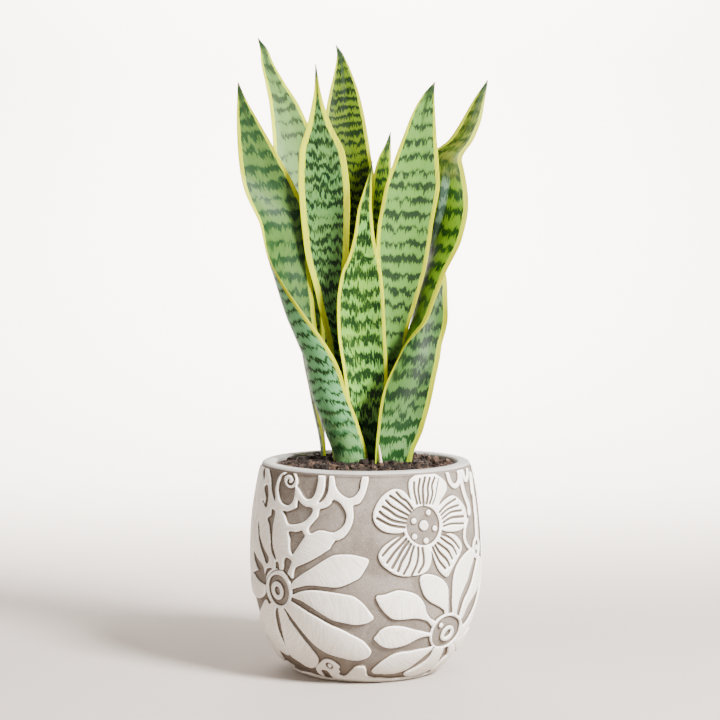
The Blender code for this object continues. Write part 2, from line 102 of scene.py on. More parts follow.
@dataclass(frozen=True)
class Wire:
    """An output socket of a shader tree, with arithmetic."""

    bench: "Bench"
    socket: Any

    def _maths(self, operation: str, *terms: Any) -> "Wire":
        """Adds one Math node fed by the terms."""
        return self.bench.maths(operation, *terms)

    def __add__(self, other: Any) -> "Wire":
        """Self plus other."""
        return self._maths("ADD", self, other)

    def __radd__(self, other: Any) -> "Wire":
        """Other plus self."""
        return self._maths("ADD", other, self)

    def __sub__(self, other: Any) -> "Wire":
        """Self less other."""
        return self._maths("SUBTRACT", self, other)

    def __rsub__(self, other: Any) -> "Wire":
        """Other less self."""
        return self._maths("SUBTRACT", other, self)

    def __mul__(self, other: Any) -> "Wire":
        """Self times other."""
        return self._maths("MULTIPLY", self, other)

    def __rmul__(self, other: Any) -> "Wire":
        """Other times self."""
        return self._maths("MULTIPLY", other, self)

    def __truediv__(self, other: Any) -> "Wire":
        """Self over other."""
        return self._maths("DIVIDE", self, other)

    def __rtruediv__(self, other: Any) -> "Wire":
        """Other over self."""
        return self._maths("DIVIDE", other, self)

    def step(self, low: float, high: float) -> "Wire":
        """Goes smoothly from 0 at low to 1 at high.

        Args:
            low: value of self where the result is 0.
            high: value of self where the result is 1; it may lie below low.

        Returns:
            The smoothed step.
        """
        settings = {"interpolation_type": "SMOOTHSTEP"}
        if low <= high:
            return self.bench.node("ShaderNodeMapRange", settings, {0: self, 1: low, 2: high, 3: 0.0, 4: 1.0})
        return self.bench.node("ShaderNodeMapRange", settings, {0: self, 1: high, 2: low, 3: 1.0, 4: 0.0})


class Bench:
    """Builds one material's node tree."""

    def __init__(self, name: str) -> None:
        """Starts a material with a cleared tree.

        Args:
            name: name of the material.
        """
        self.material = bpy.data.materials.new(name)
        self.material.use_nodes = True
        self.tree = self.material.node_tree
        self.tree.nodes.clear()

    def feed(self, node: Any, key: Any, value: Any) -> None:
        """Sets or links one input of a node.

        Args:
            node: the node.
            key: index or name of the input.
            value: a Wire to link, or a number, colour or vector.
        """
        target = node.inputs[key]
        if isinstance(value, Wire):
            self.tree.links.new(value.socket, target)
        elif isinstance(value, tuple) and len(value) == 3 and target.type == "RGBA":
            target.default_value = (*value, 1.0)
        else:
            target.default_value = value

    def node(self, kind: str, settings: dict[str, Any], values: dict[Any, Any], output: Any = 0) -> Wire:
        """Adds one node.

        Args:
            kind: Blender's node type.
            settings: properties set before the sockets.
            values: socket values or links by index or name.
            output: which output to return.

        Returns:
            The chosen output.
        """
        made = self.tree.nodes.new(kind)
        for key, value in settings.items():
            setattr(made, key, value)
        for key, value in values.items():
            self.feed(made, key, value)
        return Wire(self, made.outputs[output])

    def maths(self, operation: str, *terms: Any) -> Wire:
        """Adds a Math node.

        Args:
            operation: the Math node's operation.
            *terms: wires or numbers, in socket order.

        Returns:
            The result.
        """
        return self.node("ShaderNodeMath", {"operation": operation}, dict(enumerate(terms)))

    def measure(self, name: str) -> Wire:
        """Reads a number stored on the mesh."""
        return self.node("ShaderNodeAttribute", {"attribute_name": name}, {}, "Fac")

    def place(self) -> Wire:
        """Gives the object-space position in millimetres."""
        spot = self.node("ShaderNodeTexCoord", {}, {}, "Object")
        return self.node("ShaderNodeVectorMath", {"operation": "SCALE"}, {0: spot, "Scale": 1000.0})

    def vector(self, x: Any, y: Any, z: Any = 0.0) -> Wire:
        """Puts three numbers together as a vector."""
        return self.node("ShaderNodeCombineXYZ", {}, {0: x, 1: y, 2: z})

    def grain(self, where: Wire, scale: float, detail: float = 2.0, rough: float = 0.5) -> Wire:
        """Adds a noise texture.

        Args:
            where: coordinates.
            scale: cells for each unit of the coordinates.
            detail: octaves.
            rough: how strong the finer octaves are.

        Returns:
            Noise from 0 to 1.
        """
        values = {"Vector": where, "Scale": scale, "Detail": detail, "Roughness": rough}
        return self.node("ShaderNodeTexNoise", {}, values, 0)

    def blend(self, share: Any, first: Any, second: Any) -> Wire:
        """Mixes two colours.

        Args:
            share: 0 gives the first colour, 1 the second.
            first: first colour.
            second: second colour.

        Returns:
            The mixed colour.
        """
        return self.node("ShaderNodeMix", {"data_type": "RGBA"}, {0: share, 6: first, 7: second}, 2)

    def bump(self, height: Wire, distance: float, strength: float) -> Wire:
        """Adds a Bump node.

        Args:
            height: height in millimetres.
            distance: metres for each unit of height.
            strength: strength from 0 to 1.

        Returns:
            The normal.
        """
        return self.node("ShaderNodeBump", {}, {"Strength": strength, "Distance": distance, "Height": height})

    def stretched(self, where: Wire, factors: RGB) -> Wire:
        """Scales coordinates by a factor along each axis."""
        return self.node("ShaderNodeVectorMath", {"operation": "MULTIPLY"}, {0: where, 1: factors})

    def close(self, **sockets: Any) -> bpy.types.Material:
        """Ends the tree with a Principled shader.

        Args:
            **sockets: inputs by name, with an underscore for each space.

        Returns:
            The finished material.
        """
        values = {key.replace("_", " "): value for key, value in sockets.items()}
        shader = self.node("ShaderNodeBsdfPrincipled", {}, values)
        end = self.tree.nodes.new("ShaderNodeOutputMaterial")
        self.tree.links.new(shader.socket, end.inputs[0])
        return self.material



# ---------------------------------------------------------------------------
# Finishes
# ---------------------------------------------------------------------------


@dataclass(frozen=True)
class LeafFinish:
    """Colours and banding of one leaf, in millimetres and linear colour."""

    pale: RGB
    pale_warm: RGB
    dark: RGB
    dark_warm: RGB
    spacing: float = 9.0
    cover: float = 0.42
    fray: float = 3.0
    wander: float = 5.0
    mottle: float = 0.5
    shading: float = 0.46
    margin: float = 3.6
    margin_colour: RGB = (0.385, 0.395, 0.0)
    margin_pale: RGB = (0.46, 0.54, 0.002)
    uneven: float = 1.0
    outer_uneven: float = 0.45
    outer_pale: RGB = (0.10, 0.14, 0.05)
    outer_dark: RGB = (0.02, 0.045, 0.01)
    outer_spacing: float = 9.0
    outer_cover: float = 0.30
    # Strength of a painted sheen highlight on the outer face; the outer face below it also gets painted
    # shade.
    sheen_stripe: float = 0.0
    olive_tip: float = 0.0
    seed: float = 0.0

    def bands(
        self, bench: Bench, across: Wire, along: Wire,
        spacing: float, cover: float, seed: float, uneven: float,
    ) -> tuple[Wire, Wire]:
        """Draws the frayed cross bands.

        Args:
            bench: the tree to build in.
            across: millimetres from the midline.
            along: millimetres up the leaf.
            spacing: distance between bands.
            cover: share of the leaf that is dark.
            seed: moves the pattern.
            uneven: how much the bands' weight wanders.

        Returns:
            1 in the dark bands and 0 between them, and the softer shade around them.
        """
        broad = bench.grain(bench.vector(across * 0.075, along * 0.03, seed), 1.0, 2.0)
        zigzag = bench.grain(bench.vector(across * 0.26, along * 0.02, seed + 3.7), 1.0, 1.0)
        streaks = bench.grain(bench.vector(across * 1.05, along * 0.14, seed + 7.1), 1.0, 2.0, 0.6)
        level = along + (broad - 0.5) * (self.wander * 4.0) + (zigzag - 0.5) * (self.fray * 3.0)
        level = level + (streaks - 0.5) * (self.fray * 4.2)
        phase = bench.maths("PINGPONG", level + seed * 11.0, spacing * 0.5) / (spacing * 0.5)
        weight = bench.grain(bench.vector(across * 0.02, along * 0.09, seed + 13.3), 1.0, 1.0)
        blotch = bench.grain(bench.vector(across * 0.15, along * 0.07, seed + 17.9), 1.0, 2.0)
        limit = cover + 0.03 + ((weight - 0.5) * 1.1 + (blotch - 0.5) * 1.2) * uneven + (streaks - 0.5) * 0.8
        depth = limit - phase
        return depth.step(-0.03, 0.06), depth.step(-0.34, 0.02)

    def material(self, name: str) -> bpy.types.Material:
        """Builds the leaf's material.

        Args:
            name: name of the material.

        Returns:
            The material.
        """
        bench = Bench(name)
        across = bench.measure("across")
        along = bench.measure("along")
        edge = bench.measure("edge")
        tip = bench.measure("tip")
        inner = bench.measure("inner")
        fine = bench.grain(bench.vector(across * 1.7, along * 0.22, self.seed + 21.0), 1.0, 3.0, 0.6)
        cloud = bench.grain(bench.vector(across * 0.09, along * 0.05, self.seed + 31.0), 1.0, 3.0)
        tone = (cloud * 0.7 + fine * 0.45).step(0.36, 0.82)
        flecks = (fine + (cloud - 0.5) * 0.35).step(0.57, 0.68) * self.mottle
        holes = (1.0 - fine + (cloud - 0.5) * 0.3).step(0.60, 0.70) * self.mottle
        band, shade = self.bands(bench, across, along, self.spacing, self.cover, self.seed, self.uneven)
        band = bench.maths("MAXIMUM", band * (1.0 - flecks * 0.8), holes * 0.35)
        pale = bench.blend(tone, self.pale, self.pale_warm)
        dark = bench.blend(tone, self.dark, self.dark_warm)
        inside = bench.blend(band, bench.blend(shade * self.shading, pale, self.dark_warm), dark)
        back_band, back_shade = self.bands(
            bench, across, along, self.outer_spacing, self.outer_cover, self.seed + 5.0, self.outer_uneven
        )
        outer_warm = tuple(channel * 0.86 for channel in self.outer_pale)
        outside = bench.blend(tone, self.outer_pale, outer_warm)
        outside = bench.blend(back_shade * self.shading * 0.7, outside, self.outer_dark)
        outside = bench.blend(back_band, outside, self.outer_dark)
        # Painted highlight: a blue-grey sheen stripe along the outer face.
        if self.sheen_stripe:
            centre = across + (along - 175.0) * 0.10
            stripe = bench.maths("ABSOLUTE", centre).step(4.0, 1.8) * self.sheen_stripe
            stripe = stripe * (1.0 - back_band * 0.6) * along.step(120.0, 145.0) * along.step(232.0, 212.0)
            outside = bench.blend(stripe, outside, (0.13, 0.21, 0.17))
            # Painted shade: the outer face darkens towards the leaf's foot.
            outside = bench.blend(along.step(150.0, 105.0) * 0.6, outside, (0.018, 0.045, 0.004))
        body = bench.blend(inner, outside, inside)
        if self.olive_tip:
            olive = bench.blend(tone, (0.050, 0.062, 0.006), (0.078, 0.090, 0.010))
            olive = bench.blend(shade * 0.5, olive, (0.022, 0.034, 0.002))
            olive = bench.blend(band, olive, (0.010, 0.019, 0.001))
            body = bench.blend(tip.step(100.0, 78.0) * self.olive_tip, body, olive)
        foot = along.step(52.0, 12.0)
        foot_band = (shade * 0.9 + band).step(0.35, 0.95)
        foot_colour = bench.blend(foot_band, (0.085, 0.175, 0.055), (0.005, 0.030, 0.004))
        body = bench.blend(foot * 0.80, body, foot_colour)
        width = self.margin * (0.35 + tip.step(0.0, 60.0) * 0.65)
        ragged = bench.grain(bench.vector(along * 0.35, across * 0.05, self.seed + 41.0), 1.0, 2.0)
        rim = edge - width - (ragged - 0.5) * 1.3
        in_margin = rim.step(0.22, -0.22)
        streak = bench.grain(bench.vector(across * 1.3, along * 0.035, self.seed + 51.0), 1.0, 2.0)
        yellow = bench.blend(streak.step(0.38, 0.62), self.margin_colour, self.margin_pale)
        yellow = bench.blend(edge.step(0.7, 0.0) * 0.40, yellow, (0.30, 0.33, 0.0))
        yellow = bench.blend(rim.step(-1.1, -0.1) * 0.45, yellow, (0.20, 0.36, 0.01))
        green_foot = along.step(30.0, 0.0) * 0.45
        yellow = bench.blend(green_foot, yellow, (0.20, 0.34, 0.003))
        colour = bench.blend(in_margin, body, yellow)
        point = (tip + (streak - 0.5) * 10.0).step(17.0, 7.0)
        spine = bench.maths("ABSOLUTE", across + (streak - 0.5) * 3.0).step(1.9, 0.5)
        spine = spine * tip.step(46.0, 20.0) * 0.75
        colour = bench.blend(bench.maths("MAXIMUM", point, spine), colour, (0.014, 0.030, 0.010))
        horn = tip.step(4.5, 1.0)
        colour = bench.blend(horn * 0.7, colour, (0.16, 0.14, 0.09))
        rough = 0.42 + (cloud - 0.5) * 0.14 + band * 0.05 + in_margin * 0.04
        ribs = bench.grain(bench.vector(across * 3.4, along * 0.03, self.seed + 61.0), 1.0, 2.0)
        pores = bench.grain(bench.vector(across * 4.0, along * 2.0, self.seed + 71.0), 1.0, 2.0)
        height = ribs * 0.16 + pores * 0.05 + band * 0.035 + cloud * 0.30
        return bench.close(
            Base_Color=colour, Roughness=rough, Normal=bench.bump(height, MILLI, 0.65),
            Specular_IOR_Level=0.10,
            Subsurface_Weight=0.06, Subsurface_Radius=(0.4, 1.0, 0.2), Subsurface_Scale=0.0025,
        )


@dataclass(frozen=True)
class PotFinish:
    """Hand-rubbed cast body: taupe ground, chalky white relief with painted highlights on its edges, and
    brown along the relief's foot that is partly antique wash and partly painted shade.
    """

    ground: RGB = (0.118, 0.095, 0.077)
    ground_cool: RGB = (0.190, 0.162, 0.138)
    chalk: RGB = (0.800, 0.748, 0.668)
    # Painted highlight colour for the relief's edges.
    chalk_highlight: RGB = (0.930, 0.905, 0.865)
    # Brown that is partly antique wash and partly painted shade along the relief's foot.
    antique_and_shade: RGB = (0.078, 0.056, 0.037)
    inside: RGB = (0.300, 0.295, 0.260)

    def material(self, name: str) -> bpy.types.Material:
        """Builds the pot's material.

        Args:
            name: name of the material.

        Returns:
            The material.
        """
        bench = Bench(name)
        where = bench.place()
        relief = bench.measure("relief")
        zone = bench.measure("zone")
        sweep = bench.vector(bench.measure("brush_x"), bench.measure("brush_y"))
        cloud = bench.grain(where, 0.045, 4.0, 0.55)
        dust = bench.grain(where, 0.9, 3.0, 0.6)
        grit = bench.grain(where, 3.0, 2.0, 0.6)
        brushed = bench.grain(sweep, 1.0, 3.0, 0.6)
        ground = bench.blend(cloud.step(0.35, 0.65), self.ground, self.ground_cool)
        ground = bench.blend(dust.step(0.46, 0.34) * 0.50, ground, (0.082, 0.064, 0.048))
        ground = bench.blend(dust.step(0.57, 0.68) * 0.42, ground, (0.30, 0.26, 0.215))
        ground = bench.blend(grit.step(0.60, 0.68) * 0.45, ground, (0.42, 0.385, 0.34))
        # Ground beside the relief darkens: partly brown antique wash, partly painted shade at the relief's
        # foot.
        recess_antique_and_shade = relief.step(-2.0, -0.1) * (0.28 + cloud.step(0.4, 0.62) * 0.35)
        ground = bench.blend(recess_antique_and_shade, ground, self.antique_and_shade)
        chalk = bench.blend(brushed.step(0.42, 0.60) * 0.60, self.chalk, (0.60, 0.532, 0.450))
        chalk = bench.blend(cloud.step(0.45, 0.68) * 0.35, chalk, (0.80, 0.775, 0.74))
        chalk = bench.blend(dust.step(0.40, 0.30) * 0.16, chalk, (0.55, 0.49, 0.42))
        # Painted highlight: the chalk turns whiter along the relief's edges.
        edge_highlight = relief.step(1.25, 0.75) * relief.step(0.05, 0.35)
        chalk = bench.blend(edge_highlight * 0.92, chalk, self.chalk_highlight)
        edge_noise = (dust - 0.5) * 0.35
        on_relief = (relief + edge_noise).step(-0.06, 0.06)
        # Dark brown line round the relief: partly antique wash, partly painted shadow of the relief.
        line = (relief + edge_noise).step(-1.05, -0.25) * (relief + edge_noise).step(0.20, 0.02)
        wall = bench.blend(on_relief, ground, chalk)
        wall = bench.blend(line * (0.62 + cloud.step(0.38, 0.6) * 0.36), wall, self.antique_and_shade)
        lip = bench.blend(cloud.step(0.42, 0.62) * 0.5, (0.37, 0.355, 0.335), (0.27, 0.26, 0.235))
        lip = bench.blend(dust.step(0.60, 0.72) * 0.25, lip, (0.46, 0.43, 0.385))
        interior = bench.blend(dust.step(0.40, 0.62) * 0.35, self.inside, (0.22, 0.21, 0.175))
        interior = bench.blend(cloud.step(0.46, 0.66) * 0.35, interior, (0.42, 0.43, 0.43))
        height_up = bench.measure("up")
        # The wall is darker towards its foot, within about 38 mm of the floor.
        darker_toward_foot = (height_up + (cloud - 0.5) * 14.0).step(38.0, 8.0) * 0.72
        foot_colour = bench.blend(on_relief, (0.110, 0.082, 0.060), (0.47, 0.41, 0.345))
        wall = bench.blend(darker_toward_foot, wall, foot_colour)
        colour = bench.blend(zone.step(0.45, 0.55), wall, lip)
        colour = bench.blend(zone.step(1.45, 1.55), colour, interior)
        colour = bench.blend(zone.step(2.45, 2.55), colour, (0.40, 0.345, 0.295))
        chalky = on_relief * zone.step(0.55, 0.45)
        rough = 0.78 - chalky * 0.16 + (dust - 0.5) * 0.16
        height = dust * 0.20 + grit * 0.10 + chalky * (brushed * 0.60 - 0.12) + cloud * 0.25
        return bench.close(
            Base_Color=colour, Roughness=rough, Normal=bench.bump(height, MILLI, 0.85),
            Specular_IOR_Level=0.30,
        )


@dataclass(frozen=True)
class BarkFinish:
    """Dark bark and coir with paler torn faces."""

    deep: RGB = (0.003, 0.0014, 0.0008)
    brown: RGB = (0.014, 0.0072, 0.0042)
    torn: RGB = (0.210, 0.124, 0.078)
    torn_share: float = 0.5
    grain_scale: float = 0.35

    def material(self, name: str) -> bpy.types.Material:
        """Builds the bark material.

        Args:
            name: name of the material.

        Returns:
            The material.
        """
        bench = Bench(name)
        where = bench.place()
        piece = bench.measure("piece")
        patch = bench.grain(where, self.grain_scale, 4.0, 0.6)
        fibre = bench.grain(bench.stretched(where, (0.5, 2.6, 1.9)), 1.0, 4.0, 0.65)
        crumbs = bench.grain(where, 2.2, 3.0, 0.6)
        colour = bench.blend(patch.step(0.34, 0.62), self.deep, self.brown)
        colour = bench.blend(piece.step(0.35, 0.95) * 0.75, colour, (0.036, 0.019, 0.012))
        pale = (fibre * 0.6 + crumbs * 0.4 + (piece - 0.5) * 0.30).step(0.56, 0.72) * self.torn_share
        colour = bench.blend(pale, colour, self.torn)
        colour = bench.blend(crumbs.step(0.40, 0.28) * 0.6, colour, self.deep)
        height = fibre * 0.55 + crumbs * 0.35 + patch * 0.5
        return bench.close(
            Base_Color=colour, Roughness=0.86 - pale * 0.14, Normal=bench.bump(height, MILLI, 0.9),
            Specular_IOR_Level=0.30,
        )


@dataclass(frozen=True)
class ShootFinish:
    """Waxy flesh of the young shoot: pink-cream, redder at its foot."""

    cream: RGB = (0.86, 0.66, 0.56)
    blush: RGB = (0.62, 0.30, 0.22)
    point: RGB = (0.88, 0.78, 0.64)

    def material(self, name: str) -> bpy.types.Material:
        """Builds the shoot's material.

        Args:
            name: name of the material.

        Returns:
            The material.
        """
        bench = Bench(name)
        where = bench.place()
        rise = bench.measure("rise")
        lines = bench.grain(bench.stretched(where, (3.0, 3.0, 0.25)), 1.0, 3.0)
        colour = bench.blend(lines.step(0.35, 0.65) * 0.45, self.cream, self.blush)
        colour = bench.blend(rise.step(0.35, 0.0) * 0.7, colour, self.blush)
        colour = bench.blend(rise.step(0.80, 1.0), colour, self.point)
        return bench.close(
            Base_Color=colour, Roughness=0.44 + lines * 0.12, Normal=bench.bump(lines, MILLI * 0.3, 0.6),
            Subsurface_Weight=0.15, Subsurface_Radius=(1.0, 0.5, 0.3), Subsurface_Scale=0.002,
        )


@dataclass(frozen=True)
class StageFinish:
    """Plain pale studio ground with the faintest mottling."""

    colour: RGB = (0.430, 0.383, 0.345)

    def material(self, name: str) -> bpy.types.Material:
        """Builds the stage's material.

        Args:
            name: name of the material.

        Returns:
            The material.
        """
        bench = Bench(name)
        cloud = bench.grain(bench.place(), 0.004, 2.0)
        shade = tuple(channel * 0.985 for channel in self.colour)
        return bench.close(Base_Color=bench.blend(cloud, self.colour, shade), Roughness=0.85)


# Each leaf's colours were scaled to match how bright that leaf looks, so their differences are partly each
# leaf's own colour and partly painted shade.
LEAF_FINISHES: dict[str, LeafFinish] = {
    "leaf_front_left": LeafFinish(
        pale=(0.0429, 0.0955, 0.0189), pale_warm=(0.0538, 0.1088, 0.0221), dark=(0.0052, 0.0208, 0.0051),
        dark_warm=(0.0122, 0.0378, 0.0114), spacing=11.5, cover=0.40, fray=2.6, wander=4.5, mottle=0.55,
        margin=3.2, outer_pale=(0.0929, 0.2666, 0.1037), outer_dark=(0.0059, 0.0225, 0.0035),
        outer_spacing=9.0, outer_cover=0.25, outer_uneven=0.3, seed=1.3,
        margin_colour=(0.27, 0.275, 0.0), margin_pale=(0.37, 0.41, 0.001),
    ),
    "leaf_tall_back_left": LeafFinish(
        pale=(0.0874, 0.1665, 0.0432), pale_warm=(0.1040, 0.1923, 0.0488), dark=(0.0225, 0.0390, 0.0161),
        dark_warm=(0.0345, 0.0600, 0.0238), spacing=12.0, cover=0.18, fray=2.4, wander=5.0, mottle=0.35,
        margin=2.9, outer_pale=(0.0931, 0.1672, 0.0446), outer_dark=(0.0195, 0.0345, 0.0170),
        outer_spacing=12.0, outer_cover=0.20, seed=4.1,
    ),
    "leaf_centre_left": LeafFinish(
        pale=(0.0604, 0.1601, 0.0437), pale_warm=(0.0874, 0.1953, 0.0456), dark=(0.0014, 0.0119, 0.0032),
        dark_warm=(0.0083, 0.0218, 0.0049), spacing=9.0, cover=0.42, fray=3.4, wander=4.0, mottle=0.8,
        margin=4.6, seed=7.9,
    ),
    "leaf_short_front": LeafFinish(
        pale=(0.1097, 0.2894, 0.0533), pale_warm=(0.1501, 0.3164, 0.0290), dark=(0.0026, 0.0157, 0.0025),
        dark_warm=(0.0104, 0.0358, 0.0050), spacing=12.5, cover=0.50, fray=4.2, wander=3.5, mottle=0.85,
        margin=2.5, seed=11.2,
    ),
    "leaf_right": LeafFinish(
        pale=(0.0331, 0.0848, 0.0188), pale_warm=(0.0425, 0.0975, 0.0180), dark=(0.0025, 0.0099, 0.0028),
        dark_warm=(0.0055, 0.0166, 0.0033), spacing=12.5, cover=0.47, fray=3.8, wander=4.0, mottle=0.85,
        margin=3.7, outer_pale=(0.0579, 0.1220, 0.0032),
        outer_dark=(0.0040, 0.0192, 0.0008), outer_spacing=14.0, outer_cover=0.42, sheen_stripe=0.62,
        olive_tip=0.8, seed=15.6, margin_colour=(0.19, 0.195, 0.0), margin_pale=(0.25, 0.275, 0.001),
    ),
    "leaf_centre_right": LeafFinish(
        pale=(0.0824, 0.1931, 0.0302), pale_warm=(0.0894, 0.2012, 0.0414), dark=(0.0095, 0.0241, 0.0092),
        dark_warm=(0.0160, 0.0320, 0.0112), spacing=11.0, cover=0.24, fray=2.8, wander=1.8, mottle=0.18,
        margin=2.9, seed=19.4,
        margin_colour=(0.26, 0.275, 0.0), margin_pale=(0.40, 0.44, 0.001),
    ),
    "leaf_tall_back": LeafFinish(
        pale=(0.0473, 0.0882, 0.0032), pale_warm=(0.0679, 0.1117, 0.0010), dark=(0.0015, 0.0077, 0.0005),
        dark_warm=(0.0035, 0.0138, 0.0005), spacing=7.0, cover=0.44, fray=2.2, wander=3.0, mottle=0.35,
        margin=2.6, seed=23.8,
        margin_colour=(0.25, 0.255, 0.0), margin_pale=(0.36, 0.39, 0.001),
    ),
    "leaf_small_back": LeafFinish(
        pale=(0.1305, 0.2473, 0.0053), pale_warm=(0.1416, 0.2453, 0.0072), dark=(0.0072, 0.0370, 0.0058),
        dark_warm=(0.0176, 0.0495, 0.0036), spacing=8.0, cover=0.45, fray=2.8, wander=3.0, mottle=0.5,
        margin=2.4, seed=27.1,
    ),
}


# ---------------------------------------------------------------------------
# Pot
# ---------------------------------------------------------------------------


@dataclass(frozen=True)
class Motif:
    """One shape of the relief, in degrees round the pot and millimetres up its wall.

    The width is a stroke's width, a disc's radius or how far an outline is opened outward.
    """

    cutting: Cutting
    drawing: Drawing
    width: float
    points: Pairs


def rounded(points: Pairs, closed: bool, steps: int = 5) -> np.ndarray:
    """Draws a smooth line through points.

    Args:
        points: the points, in order.
        closed: whether the line joins its start.
        steps: stretches between two points.

    Returns:
        The finer points.
    """
    line = np.array(points, float)
    count = len(line)
    spans = count if closed else count - 1
    out = []
    for index in range(spans):
        if closed:
            a, b, c, d = (line[(index + shift) % count] for shift in (-1, 0, 1, 2))
        else:
            a, b, c, d = (line[min(max(index + shift, 0), count - 1)] for shift in (-1, 0, 1, 2))
        for step in range(steps):
            t = step / steps
            out.append(0.5 * (2 * b + (c - a) * t + (2 * a - 5 * b + 4 * c - d) * t**2
                              + (3 * b - a - 3 * c + d) * t**3))
    if not closed:
        out.append(line[-1])
    return np.array(out)


def boss(width: float, *flat: float) -> Motif:
    """A round boss."""
    return Motif(Cutting.RAISED, Drawing.DISC, width, tuple(zip(flat[::2], flat[1::2])))


def dimple(width: float, *flat: float) -> Motif:
    """A round hollow."""
    return Motif(Cutting.SUNK, Drawing.DISC, width, tuple(zip(flat[::2], flat[1::2])))


def groove(width: float, *flat: float) -> Motif:
    """A stroke cut into the relief."""
    return Motif(Cutting.SUNK, Drawing.STROKE, width, tuple(zip(flat[::2], flat[1::2])))


def raised(width: float, *flat: float) -> Motif:
    """An outline that stands up from the wall."""
    return Motif(Cutting.RAISED, Drawing.OUTLINE, width, tuple(zip(flat[::2], flat[1::2])))


def ridge(width: float, *flat: float) -> Motif:
    """A stroke that stands up from the wall."""
    return Motif(Cutting.RAISED, Drawing.STROKE, width, tuple(zip(flat[::2], flat[1::2])))


def sunk(width: float, *flat: float) -> Motif:
    """An outline cut into the relief."""
    return Motif(Cutting.SUNK, Drawing.OUTLINE, width, tuple(zip(flat[::2], flat[1::2])))


